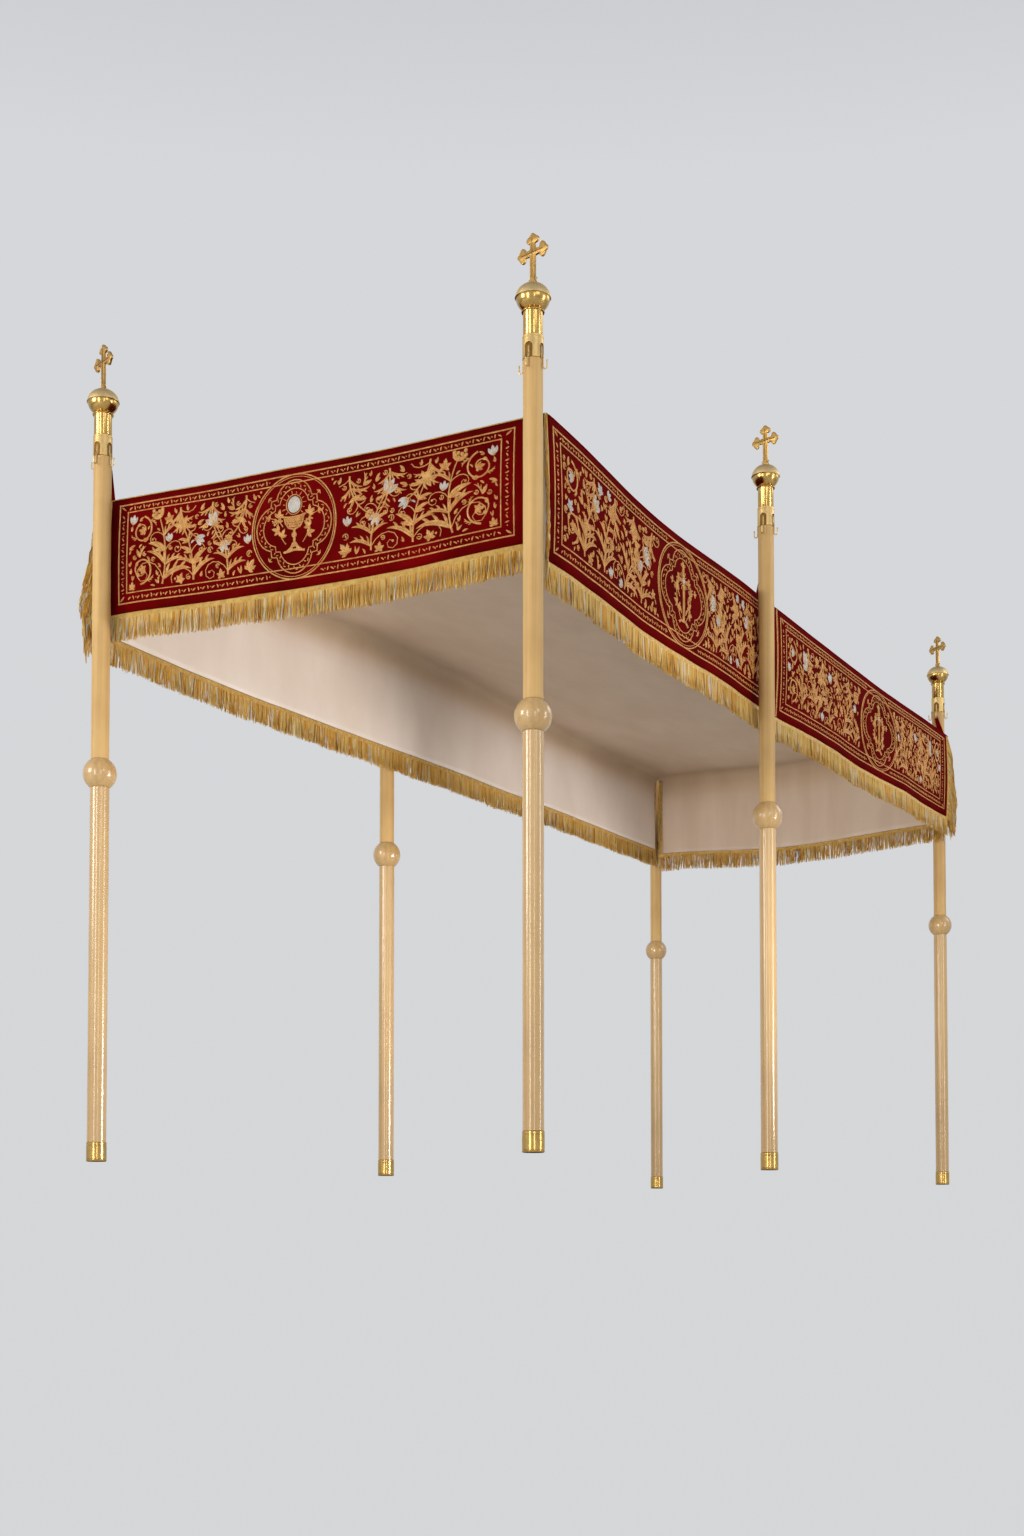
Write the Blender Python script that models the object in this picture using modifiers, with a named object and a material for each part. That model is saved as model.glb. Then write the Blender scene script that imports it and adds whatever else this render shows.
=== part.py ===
"""Processional canopy: a velvet cover with fringed sides and a satin lining, hung on six staves.

Metres, +Z up. +X runs across the canopy, +Y along it, away from the front. The staves stand on
z = 0, and the finished canopy is centred over the origin.
"""
from collections import namedtuple
from math import cos, pi, radians, sin, sqrt

import bpy
import bmesh
from mathutils import Matrix, Vector

FIT_GAP = 0.0004            # clearance between pieces that touch

# Staves: heights above the floor on a stave of standard length, and radii
STAVE_HEIGHT = 2.500
FOOT_HEIGHT = 0.057
FOOT_RADIUS = 0.0305
FOOT_EDGE = 0.003
LOWER_RADIUS = 0.0290
UPPER_RADIUS = 0.0273
KNOB_LEVEL = 1.175
KNOB_RADIUS = 0.0515
SOCKET_LEVEL = 2.148
SOCKET_HEIGHT = 0.065
SOCKET_RADIUS = 0.0290
NECK_RADIUS = 0.0270
NECK_TOP = 2.279
BALL_SEAM = 2.320
BALL_RADIUS = 0.0480
BALL_RISE = 0.041
SEAM_LIP = 0.0015
CROSS_FOOT = 2.361
ROUND_SIDES = 14

# Arched catches and J-hooks on the four quarters of each socket
NICHE_WIDTH = 0.024
NICHE_SPRING = 0.030        # height of the niche's straight sides
NICHE_DEPTH = 0.0025
HOOK_WIRE = 0.0018
HOOK_SHANK = 0.0305         # distance of the shank from the stave's axis
HOOK_THROAT = 0.0120        # from the shank to the tip
HOOK_BOTTOM = 2.119
HOOK_TIP_RISE = 0.019

# Budded cross
CROSS_STEM = 0.0090         # half width of the bars
CROSS_THICKNESS = 0.008
CROSS_CENTRE = 2.4465
CROSS_ARM = 0.0535
CROSS_LOBE = 0.0088

# Cloth
VELVET_THICKNESS = 0.0025
LINING_THICKNESS = 0.0014
BRAID_THICKNESS = 0.0030
LINING_INSET = 0.0027       # from the middle of the velvet to the middle of the lining
ROOF_SAG = 0.045
BILLOW = 0.006
HEM_WAVE = 0.007
ROOF_FLATNESS = 1.6         # above 1, the sag stays even along most of the length
CORNER_SLIT = 0.030         # bare stretch from each corner to the end of a hanging side
CORNER_FLAT = 0.060         # stretch of the roof's edge that stays level by a corner
SIDE_LENGTH = {"long": 4.08, "short": 1.51}
BRAID_UP = 0.014            # width of the braid up the ends of a side, and along its hem
BRAID_DROP = 0.018
LOCK_PITCH = 0.060
LOCK_LENGTH = 0.066
LOCK_SPLAY = radians(35)
LOCK_ROOT = (0.22, 0.78)    # share of the pitch where a lock's root starts and stops
LOCK_TAPER = 0.18
LOCK_UNEVEN = 0.06

# Straps
STRAP_THICKNESS = 0.0025
STRAP_HALF_WIDTH = 0.016
STRAP_HEAD = 0.0072
EYELET_RADIUS = 0.0046
EYELET_PLAY = 0.0024

# turn: of the cross about the stave; hook: direction of the hook in use; reach and lean: where the
# strap lands on the roof, out from the stave's axis and sideways
Stave = namedtuple("Stave", "name x y stretch turn hook reach lean")
STAVES = (
    Stave("front_right", 0.725, -2.080, 1.00, -15, 90, 0.068, -0.035),
    Stave("front_left", -0.745, -2.080, 1.00, -22, 90, 0.056, -0.012),
    Stave("mid_right", 0.765, -0.360, 1.04, -14, 90, 0.090, -0.060),
    Stave("mid_left", -0.765, -0.360, 1.04, -14, 90, 0.090, 0.060),
    Stave("back_right", 0.725, 2.020, 1.00, -34, 270, 0.062, 0.030),
    Stave("back_left", -0.735, 2.170, 1.00, -20, 270, 0.068, 0.050),
)

# Each side of the cover in plan, with the heights of its top edge and hem: it is held up at its
# corners and at the middle stave, and sags between them
Row = namedtuple("Row", "share x y top hem")
SIDES = {
    "front": (Row(0.00, -0.775, -2.030, 2.032, 1.674), Row(0.33, -0.275, -2.030, 2.021, 1.662),
              Row(0.66, 0.225, -2.030, 2.014, 1.655), Row(1.00, 0.740, -2.030, 2.020, 1.669)),
    "back": (Row(0.00, -0.705, 2.120, 2.025, 1.642), Row(0.50, 0.0375, 2.0475, 2.000, 1.606),
             Row(1.00, 0.780, 1.975, 2.024, 1.633)),
    "left": (Row(0.00, -0.775, -2.030, 2.032, 1.620), Row(0.20, -0.749, -1.215, 1.985, 1.606),
             Row(0.41, -0.722, -0.360, 2.014, 1.622), Row(0.72, -0.713, 0.943, 2.008, 1.646),
             Row(1.00, -0.705, 2.120, 2.025, 1.662)),
    "right": (Row(0.00, 0.740, -2.030, 2.020, 1.612), Row(0.20, 0.731, -1.215, 1.984, 1.608),
              Row(0.41, 0.722, -0.360, 2.014, 1.622), Row(0.72, 0.752, 0.867, 2.008, 1.635),
              Row(1.00, 0.780, 1.975, 2.024, 1.653)),
}
KIND = {"front": "short", "back": "short", "left": "long", "right": "long"}
INWARD = {"front": 1, "back": -1, "left": -1, "right": 1}
HEM_WAVES = {"front": 1.5, "back": 1.0, "left": 3.5, "right": 4.0}
# At the first and last end of each side: the bare stretch of corner left by the velvet, and the
# length and lean, in degrees, of the locks that hang from the upright braid
End = namedtuple("End", "slit lock lean")
ENDS = {
    "front": (End(0.030, 0.085, 38), End(0.030, 0.066, 12)),
    "back": (End(0.030, 0.066, 30), End(0.030, 0.066, 30)),
    "left": (End(0.030, 0.085, 38), End(0.030, 0.066, 30)),
    "right": (End(0.004, 0.066, 30), End(0.030, 0.066, 30)),
}
INNER_STATIONS = {
    "short": (0.15, 0.28, 0.42, 0.58, 0.72, 0.85),
    "long": (0.07, 0.14, 0.20, 0.27, 0.34, 0.41, 0.48, 0.56, 0.64, 0.72, 0.79, 0.86, 0.93),
}
DROPS = (0.0, 1 / 3, 2 / 3, 1.0)
PALETTE = {
    "lacquer": ((0.70, 0.50, 0.26), 0.30, 0.0),
    "brass": ((0.80, 0.56, 0.22), 0.25, 1.0),
    "velvet": ((0.16, 0.004, 0.010), 0.85, 0.0),
    "satin": ((0.62, 0.52, 0.42), 0.50, 0.0),
    "gold_thread": ((0.66, 0.46, 0.12), 0.45, 0.6),
}


def clear_scene():
    for obj in list(bpy.data.objects):
        bpy.data.objects.remove(obj, do_unlink=True)


def new_collection(name):
    collection = bpy.data.collections.new(name)
    bpy.context.scene.collection.children.link(collection)
    return collection


def make_materials():
    made = {}
    for name, (colour, roughness, metallic) in PALETTE.items():
        material = bpy.data.materials.new(name)
        material.use_nodes = True
        shader = material.node_tree.nodes["Principled BSDF"]
        shader.inputs["Base Color"].default_value = (*colour, 1.0)
        shader.inputs["Roughness"].default_value = roughness
        shader.inputs["Metallic"].default_value = metallic
        made[name] = material
    return made


def add_object(name, data, material):
    data.materials.clear()
    data.materials.append(material)
    obj = bpy.data.objects.new(name, data)
    PARTS.objects.link(obj)
    return obj


def frozen_mesh(obj):
    """The object's mesh with its modifiers applied and the loose caps of a curve welded."""
    mesh = bpy.data.meshes.new_from_object(obj.evaluated_get(bpy.context.evaluated_depsgraph_get()))
    form = bmesh.new()
    form.from_mesh(mesh)
    bmesh.ops.remove_doubles(form, verts=form.verts, dist=0.00001)
    form.to_mesh(mesh)
    form.free()
    return mesh


def profile_mesh(name, profile):
    """An open profile of (radius, height) points, from the top down, ready for a Screw."""
    mesh = bpy.data.meshes.new(name)
    points = [(radius, 0.0, height) for radius, height in profile]
    mesh.from_pydata(points, [(i, i + 1) for i in range(len(points) - 1)], [])
    return mesh


def add_screw(obj):
    screw = obj.modifiers.new("Turned", "SCREW")
    screw.angle = 2 * pi
    screw.steps = ROUND_SIDES
    screw.render_steps = ROUND_SIDES
    screw.use_merge_vertices = True
    screw.merge_threshold = 0.00001


def arc(radius_out, radius_up, centre_height, start, end, steps):
    """Points of an elliptic arc about the axis; angles in degrees up from the equator."""
    turns = [radians(start + (end - start) * i / steps) for i in range(steps + 1)]
    return [(radius_out * cos(turn), centre_height + radius_up * sin(turn)) for turn in turns]


def foot_profile():
    return [(0, FOOT_HEIGHT), (FOOT_RADIUS, FOOT_HEIGHT), (FOOT_RADIUS, FOOT_EDGE),
            (FOOT_RADIUS - FOOT_EDGE, 0), (0, 0)]


def knob_seat(radius):
    """Height above the knob's centre at which a shaft of this radius meets it."""
    return sqrt(KNOB_RADIUS ** 2 - radius ** 2)


def rod_profile(radius, top, bottom):
    return [(0, top), (radius, top), (radius, bottom), (0, bottom)]


def knob_profile():
    top = knob_seat(UPPER_RADIUS)
    bottom = knob_seat(LOWER_RADIUS)
    ball = arc(KNOB_RADIUS, KNOB_RADIUS, KNOB_LEVEL, 58, -56, 7)
    ball[0] = (UPPER_RADIUS, KNOB_LEVEL + top)
    ball[-1] = (LOWER_RADIUS, KNOB_LEVEL - bottom)
    return [(0, KNOB_LEVEL + top), *ball, (0, KNOB_LEVEL - bottom)]


def finial_profile():
    dome = arc(BALL_RADIUS, BALL_RISE, BALL_SEAM, 76, 4, 3)
    bowl = arc(BALL_RADIUS - SEAM_LIP, BALL_RISE, BALL_SEAM, -8, -54, 2)
    ring = NECK_RADIUS + 0.004
    base = SOCKET_LEVEL + SOCKET_HEIGHT + FIT_GAP
    return [(0, CROSS_FOOT), *dome, (BALL_RADIUS + SEAM_LIP, BALL_SEAM), *bowl,
            (ring, NECK_TOP + 0.004), (ring, NECK_TOP), (NECK_RADIUS, NECK_TOP),
            (NECK_RADIUS, base), (0, base)]


def poly_curve(name, outlines, extrude):
    """A flat outline, or several nested ones, as a filled 2D curve."""
    curve = bpy.data.curves.new(name, "CURVE")
    curve.dimensions = "2D"
    curve.fill_mode = "BOTH"
    curve.extrude = extrude
    for outline in outlines:
        spline = curve.splines.new("POLY")
        spline.points.add(len(outline) - 1)
        for point, (x, y) in zip(spline.points, outline):
            point.co = (x, y, 0, 1)
        spline.use_cyclic_u = True
    return curve


def wire_curve(name, points):
    curve = bpy.data.curves.new(name, "CURVE")
    curve.dimensions = "3D"
    curve.bevel_depth = HOOK_WIRE
    curve.bevel_resolution = 0
    curve.use_fill_caps = True
    spline = curve.splines.new("POLY")
    spline.points.add(len(points) - 1)
    for point, place in zip(spline.points, points):
        point.co = (*place, 1)
    return curve


def tool_object(name, curve, matrix):
    """A curve made into a welded mesh that cuts or joins the socket."""
    source = bpy.data.objects.new(name + "_curve", curve)
    TOOLS.objects.link(source)
    bpy.context.view_layer.update()
    tool = bpy.data.objects.new(name, frozen_mesh(source))
    TOOLS.objects.link(tool)
    bpy.data.objects.remove(source, do_unlink=True)
    tool.matrix_world = matrix
    tool.hide_render = True
    tool.display_type = "WIRE"
    return tool


def niche_outline():
    half = NICHE_WIDTH / 2
    crown = [radians(36 * i) for i in range(6)]
    arch = [(half * cos(turn), NICHE_SPRING + half * sin(turn)) for turn in crown]
    return [(half, -0.01), *arch, (-half, -0.01)]


def hook_points():
    tip = HOOK_SHANK + HOOK_THROAT
    middle = HOOK_SHANK + HOOK_THROAT / 2
    bow = [radians(180 + 60 * i) for i in range(4)]
    round_part = [(middle + HOOK_THROAT / 2 * cos(turn), 0,
                   HOOK_BOTTOM + HOOK_THROAT / 2 * (1 + sin(turn))) for turn in bow]
    start = (SOCKET_RADIUS - 0.004, 0, SOCKET_LEVEL + 0.010)
    return [start, (HOOK_SHANK, 0, SOCKET_LEVEL + 0.008), *round_part,
            (tip, 0, HOOK_BOTTOM + HOOK_TIP_RISE)]


def socket_mesh():
    """A collar with an arched niche and a J-hook on each of its four quarters."""
    top = SOCKET_LEVEL + SOCKET_HEIGHT
    collar = bpy.data.objects.new("collar", profile_mesh("collar", rod_profile(
        SOCKET_RADIUS, top, SOCKET_LEVEL + FIT_GAP)))
    TOOLS.objects.link(collar)
    add_screw(collar)
    used = [collar]
    for quarter in range(4):
        turn = Matrix.Rotation(quarter * pi / 2, 4, "Z")
        half_plate = NICHE_DEPTH * 2
        out = Matrix.Translation((SOCKET_RADIUS - NICHE_DEPTH + half_plate, 0, SOCKET_LEVEL))
        upright = Matrix.Rotation(pi / 2, 4, "Z") @ Matrix.Rotation(pi / 2, 4, "X")
        niche = tool_object("niche", poly_curve("niche", [niche_outline()], half_plate),
                            turn @ out @ upright)
        hook = tool_object("hook", wire_curve("hook", hook_points()), turn)
        for tool, operation in ((niche, "DIFFERENCE"), (hook, "UNION")):
            boolean = collar.modifiers.new(tool.name, "BOOLEAN")
            boolean.operation = operation
            boolean.object = tool
            used.append(tool)
    bpy.context.view_layer.update()
    mesh = frozen_mesh(collar)
    for obj in used:
        bpy.data.objects.remove(obj, do_unlink=True)
    return mesh


def lobe(centre_x, centre_y, start, end, steps):
    turns = [radians(start + (end - start) * i / steps) for i in range(steps + 1)]
    return [(centre_x + CROSS_LOBE * cos(turn), centre_y + CROSS_LOBE * sin(turn)) for turn in turns]


def cross_arm(length):
    """A three-budded arm along +X, from the lower side of its root round to the upper side."""
    bud = length - 2.1 * CROSS_LOBE
    side = CROSS_STEM + 0.35 * CROSS_LOBE
    upper = [*lobe(bud, side, 30, 150, 3), (bud - CROSS_LOBE, CROSS_STEM * 0.8)]
    end = lobe(length - CROSS_LOBE, 0, -70, 70, 4)
    lower = [(x, -y) for x, y in reversed(upper)]
    return lower + end + upper


def cross_outline():
    """Budded cross: three short arms, and a stem that stands on the ball of the finial."""
    stem_foot = CROSS_FOOT + FIT_GAP - CROSS_CENTRE
    outline = [(CROSS_STEM * 1.4, stem_foot), (CROSS_STEM * 0.9, stem_foot + CROSS_STEM),
               (CROSS_STEM, -CROSS_STEM)]
    lengths = (CROSS_ARM, STAVE_HEIGHT - CROSS_CENTRE, CROSS_ARM)
    for quarter, length in enumerate(lengths):
        spin = Matrix.Rotation(quarter * pi / 2, 2)
        points = [*cross_arm(length), (CROSS_STEM, CROSS_STEM)]
        outline += [tuple(spin @ Vector(point)) for point in points]
    outline += [(-CROSS_STEM * 0.9, stem_foot + CROSS_STEM), (-CROSS_STEM * 1.4, stem_foot)]
    return outline


def make_stave(stave, meshes, materials):
    """The seven pieces of one stave, each on the stave's own foot point."""
    for piece, slot in (("foot", "brass"), ("shaft_lower", "lacquer"), ("knob", "lacquer"),
                        ("shaft_upper", "lacquer"), ("socket", "brass"), ("finial", "brass")):
        obj = add_object(f"{piece}_{stave.name}", meshes[piece].copy(), materials[slot])
        obj.location = (stave.x, stave.y, 0)
        obj.scale = (1, 1, stave.stretch)
        if piece != "socket":
            add_screw(obj)
        obj.data.shade_smooth()
    cross = add_object(f"cross_{stave.name}", poly_curve("cross", [cross_outline()],
                                                         CROSS_THICKNESS / 2), materials["brass"])
    centre = CROSS_FOOT * stave.stretch + CROSS_CENTRE - CROSS_FOOT
    cross.location = (stave.x, stave.y, centre)
    cross.rotation_euler = (pi / 2, 0, radians(stave.turn))


def stave_meshes():
    knob_low = KNOB_LEVEL - knob_seat(LOWER_RADIUS)
    knob_high = KNOB_LEVEL + knob_seat(UPPER_RADIUS)
    return {
        "foot": profile_mesh("foot", foot_profile()),
        "shaft_lower": profile_mesh("shaft_lower", rod_profile(
            LOWER_RADIUS, knob_low - FIT_GAP, FOOT_HEIGHT + FIT_GAP)),
        "knob": profile_mesh("knob", knob_profile()),
        "shaft_upper": profile_mesh("shaft_upper", rod_profile(
            UPPER_RADIUS, SOCKET_LEVEL, knob_high + FIT_GAP)),
        "socket": socket_mesh(),
        "finial": profile_mesh("finial", finial_profile()),
    }


def mix(first, second, share):
    return first + (second - first) * share


def share_of(metres, kind):
    return metres / SIDE_LENGTH[kind]


def row_at(side, share):
    """Plan and heights at a share of the side's length: straight in plan, eased in height."""
    rows = SIDES[side]
    for low, high in zip(rows, rows[1:]):
        if share <= high.share:
            break
    within = (share - low.share) / (high.share - low.share)
    eased = (1 - cos(pi * within)) / 2
    return Row(share, mix(low.x, high.x, within), mix(low.y, high.y, within),
               mix(low.top, high.top, eased), mix(low.hem, high.hem, eased))


def along(side):
    """Level unit vector from the side's first corner to its last."""
    first, last = SIDES[side][0], SIDES[side][-1]
    return Vector((last.x - first.x, last.y - first.y, 0)).normalized()


def inward(side):
    """Level unit vector square to the side, into the canopy."""
    run = along(side)
    return Vector((-run.y, run.x, 0)) * INWARD[side]


def corner_height(side, share):
    """Height of the top edge, level in the flat patch at each corner."""
    flat = share_of(CORNER_FLAT, KIND[side])
    if share <= flat:
        return SIDES[side][0].top
    if share >= 1 - flat:
        return SIDES[side][-1].top
    return row_at(side, share).top


def side_point(side, share, drop, inset=0.0, below=0.0):
    """A point of a hanging side: drop runs from the top edge, 0, to the hem, 1."""
    row = row_at(side, share)
    top = corner_height(side, share) - VELVET_THICKNESS - FIT_GAP
    swell = BILLOW * sin(pi * drop) + HEM_WAVE * drop * sin(2 * pi * HEM_WAVES[side] * share)
    level = mix(top, row.hem, drop) - below
    return Vector((row.x, row.y, level)) + inward(side) * (inset - swell)


def edge_point(side, share, inset):
    """A point of the roof's edge, drawn in at its ends so that neighbouring edges still meet."""
    row = row_at(side, share)
    place = Vector((row.x, row.y, corner_height(side, share))) + inward(side) * inset
    ends = (("left", 1 - share), ("right", share)) if KIND[side] == "short" else (
        ("front", 1 - share), ("back", share))
    for neighbour, weight in ends:
        place += inward(neighbour) * inset * weight
    return place


def roof_point(u, v, inset, level):
    """The roof between its four edges: u across, v along, with a soft sag in the middle.

    Only the outermost points take the inset, so that the roof and the lining lie parallel.
    """
    if 0 < u < 1 and 0 < v < 1:
        inset = 0
    front, back = edge_point("front", u, inset), edge_point("back", u, inset)
    left, right = edge_point("left", v, inset), edge_point("right", v, inset)
    corners = [edge_point("front", 0, inset), edge_point("front", 1, inset),
               edge_point("back", 0, inset), edge_point("back", 1, inset)]
    place = mix(front, back, v) + mix(left, right, u)
    place -= mix(mix(corners[0], corners[1], u), mix(corners[2], corners[3], u), v)
    swells = []
    for share, kind in ((u, "short"), (v, "long")):
        rim = share_of(CORNER_FLAT, kind)
        swells.append(sin(pi * min(max((share - rim) / (1 - 2 * rim), 0), 1)))
    sag = swells[0] * min(1, ROOF_FLATNESS * swells[1])
    place.z += level - ROOF_SAG * sag
    return place


def stations(kind):
    """Shares at which the roof and the lining have a row of points."""
    ends = [0.0, share_of(CORNER_SLIT, kind), share_of(CORNER_FLAT, kind)]
    return [*ends, *INNER_STATIONS[kind], *(1 - share for share in reversed(ends))]


def sheet_object(name, points, faces, thickness, material):
    """An open surface thickened both ways into a sheet."""
    mesh = bpy.data.meshes.new(name)
    mesh.from_pydata([tuple(point) for point in points], [], faces)
    mesh.shade_smooth()
    obj = add_object(name, mesh, material)
    solidify = obj.modifiers.new("Thickness", "SOLIDIFY")
    solidify.thickness = thickness
    solidify.offset = 0
    return obj


def turn_faces_alike(mesh):
    form = bmesh.new()
    form.from_mesh(mesh)
    bmesh.ops.recalc_face_normals(form, faces=form.faces)
    form.to_mesh(mesh)
    form.free()


def grid_faces(columns, rows):
    """Triangles of a grid whose points run along its rows, column by column."""
    faces = []
    for column in range(columns - 1):
        for row in range(rows - 1):
            corner = column * rows + row
            faces.append((corner, corner + rows, corner + rows + 1))
            faces.append((corner, corner + rows + 1, corner + 1))
    return faces


def make_roof(material):
    across, lengthwise = stations("short"), stations("long")
    points = [roof_point(u, v, -VELVET_THICKNESS / 2, -VELVET_THICKNESS / 2)
              for u in across for v in lengthwise]
    sheet_object("roof", points, grid_faces(len(across), len(lengthwise)), VELVET_THICKNESS, material)


def velvet_ends(side):
    """Shares at which the velvet of a hanging side starts and stops."""
    first, last = ENDS[side]
    return share_of(first.slit, KIND[side]), 1 - share_of(last.slit, KIND[side])


def make_side(side, material):
    shares = stations(KIND[side])[1:-1]
    shares[0], shares[-1] = velvet_ends(side)
    points = [side_point(side, share, drop) for share in shares for drop in DROPS]
    sheet_object(f"side_{side}", points, grid_faces(len(shares), len(DROPS)),
                 VELVET_THICKNESS, material)


def make_lining(material):
    """One sewn sheet: the ceiling under the roof, and a flap behind each side."""
    across, lengthwise = stations("short"), stations("long")
    level = -VELVET_THICKNESS - FIT_GAP - LINING_THICKNESS / 2
    points = [roof_point(u, v, LINING_INSET, level) for u in across for v in lengthwise]
    faces = grid_faces(len(across), len(lengthwise))
    rows = len(lengthwise)
    last = (len(across) - 1) * rows
    seams = {"front": [i * rows for i in range(len(across))],
             "back": [i * rows + rows - 1 for i in range(len(across))],
             "left": list(range(rows)), "right": [last + i for i in range(rows)]}
    for side, seam in seams.items():
        shares = stations(KIND[side])
        previous = None
        for index in range(1, len(shares) - 1):
            column = [seam[index]]
            for drop in DROPS[1:]:
                column.append(len(points))
                points.append(side_point(side, shares[index], drop, LINING_INSET))
            if previous:
                for i in range(len(column) - 1):
                    faces.append((previous[i], column[i], column[i + 1]))
                    faces.append((previous[i], column[i + 1], previous[i + 1]))
            previous = column
    turn_faces_alike(sheet_object("lining", points, faces, LINING_THICKNESS, material).data)


def fringe_path(side):
    """Inner and outer points of the braid: down one end, along the hem and up the other end."""
    kind = KIND[side]
    near, far = velvet_ends(side)
    near -= share_of(FIT_GAP, kind)
    far += share_of(FIT_GAP, kind)
    braid = share_of(BRAID_UP, kind)
    path = [(side_point(side, near, drop), side_point(side, near - braid, drop))
            for drop in DROPS[:-1]]
    below = FIT_GAP + BRAID_DROP
    path.append((side_point(side, near, 1, below=FIT_GAP),
                 side_point(side, near - braid, 1, below=below)))
    path += [(side_point(side, share, 1, below=FIT_GAP), side_point(side, share, 1, below=below))
             for share in stations(kind)[2:-2]]
    path.append((side_point(side, far, 1, below=FIT_GAP),
                 side_point(side, far + braid, 1, below=below)))
    path += [(side_point(side, far, drop), side_point(side, far + braid, drop))
             for drop in reversed(DROPS[:-1])]
    return path


def make_fringe(side, material):
    """A braid with locks that hang from its outer edge, all parted but for their roots."""
    path = fringe_path(side)
    ends = len(DROPS) - 1
    points = [point for pair in path for point in pair]
    faces = []
    count = 0
    for index in range(len(path) - 1):
        start, finish = path[index][1], path[index + 1][1]
        at_start, at_finish = index < ends, index >= len(path) - 1 - ends
        fall, usual = Vector((0, 0, -1)), LOCK_LENGTH
        if at_start or at_finish:
            end = ENDS[side][1 if at_finish else 0]
            outward = along(side) * (1 if at_finish else -1)
            level = outward * cos(LOCK_SPLAY) - inward(side) * sin(LOCK_SPLAY)
            fall = fall * cos(radians(end.lean)) + level * sin(radians(end.lean))
            usual = end.lock
        locks = max(1, round((finish - start).length / LOCK_PITCH))
        roots = []
        for lock in range(locks):
            length = usual * (1 + LOCK_UNEVEN * sin(5 * count))
            count += 1
            base = len(points)
            root_a, root_b = (mix(start, finish, (lock + edge) / locks) for edge in LOCK_ROOT)
            inner = (root_b - root_a) * LOCK_TAPER
            points += [root_a, root_b, root_b - inner + fall * length,
                       root_a + inner + fall * length]
            faces.append((base, base + 1, base + 2, base + 3))
            roots += [base, base + 1]
        faces.append((2 * index, 2 * index + 2, 2 * index + 3, *reversed(roots), 2 * index + 1))
    fringe = sheet_object(f"fringe_{side}", points, faces, BRAID_THICKNESS, material)
    turn_faces_alike(fringe.data)


def roof_share(x, y):
    """Rough place of a plan point on the roof, as shares across and along."""
    front, back = SIDES["front"], SIDES["back"]
    v = (y - front[0].y) / (back[-1].y - front[0].y)
    left, right = row_at("left", min(max(v, 0), 1)), row_at("right", min(max(v, 0), 1))
    return (x - left.x) / (right.x - left.x), v


def make_strap(stave, material):
    """A tapering velvet tab: its eyelet hangs on the hook and its foot is sewn to the roof."""
    out = Vector((cos(radians(stave.hook)), sin(radians(stave.hook)), 0))
    sideways = Vector((1, 0, 0)) if abs(out.y) > 0.5 else Vector((0, 1, 0))
    axis = Vector((stave.x, stave.y, 0))
    reach = HOOK_SHANK + HOOK_THROAT / 2
    wire_top = HOOK_BOTTOM * stave.stretch + HOOK_WIRE
    head = axis + out * reach + Vector((0, 0, wire_top + EYELET_PLAY - EYELET_RADIUS))
    foot = axis + out * stave.reach + sideways * stave.lean
    levels = []
    for sign in (-1, 0, 1):
        u, v = roof_share(*(foot + sideways * STRAP_HALF_WIDTH * sign).xy)
        levels.append(roof_point(min(max(u, 0), 1), min(max(v, 0), 1), 0, 0).z)
    foot.z = max(levels) + 2 * FIT_GAP
    up = (head - foot).normalized()
    flat = (sideways - up * sideways.dot(up)).normalized()
    facing = flat.cross(up)
    corners = [foot + sideways * STRAP_HALF_WIDTH * sign - head for sign in (1, -1)]
    crown = [radians(36 * i) for i in range(6)]
    outline = [(STRAP_HEAD * cos(turn), STRAP_HEAD * sin(turn)) for turn in crown]
    outline += [(corner.dot(flat), corner.dot(up)) for corner in reversed(corners)]
    ring = [radians(45 * i) for i in range(8)]
    eyelet = [(EYELET_RADIUS * cos(turn), EYELET_RADIUS * sin(turn)) for turn in ring]
    strap = add_object(f"strap_{stave.name}", poly_curve("strap", [outline, eyelet],
                                                         STRAP_THICKNESS / 2), material)
    turned = Matrix((flat, up, facing)).transposed().to_4x4()
    strap.matrix_world = Matrix.Translation(head) @ turned


def centre_over_origin():
    """Slide every piece alike, so that the whole canopy is centred over the origin."""
    bpy.context.view_layer.update()
    graph = bpy.context.evaluated_depsgraph_get()
    places = []
    for obj in PARTS.objects:
        mesh = bpy.data.meshes.new_from_object(obj.evaluated_get(graph))
        places += [obj.matrix_world @ vertex.co for vertex in mesh.vertices]
        bpy.data.meshes.remove(mesh)
    for axis in (0, 1):
        middle = (min(p[axis] for p in places) + max(p[axis] for p in places)) / 2
        for obj in PARTS.objects:
            obj.location[axis] -= middle


def main():
    materials = make_materials()
    meshes = stave_meshes()
    for stave in STAVES:
        make_stave(stave, meshes, materials)
        make_strap(stave, materials["velvet"])
    make_roof(materials["velvet"])
    make_lining(materials["satin"])
    for side in SIDES:
        make_side(side, materials["velvet"])
        make_fringe(side, materials["gold_thread"])
    centre_over_origin()


clear_scene()
PARTS = new_collection("processional canopy")
TOOLS = new_collection("cutters")
main()
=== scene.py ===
"""Looks of the processional canopy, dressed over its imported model.

Metres, +Z up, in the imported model's frame: +X runs across the canopy and +Y along it, away from
the front. The staves stand on z = 0.
"""
import random
from collections import namedtuple
from math import ceil, cos, hypot, pi, radians, sin, sqrt

import bpy
import numpy as np
from mathutils import Matrix, Vector


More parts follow.
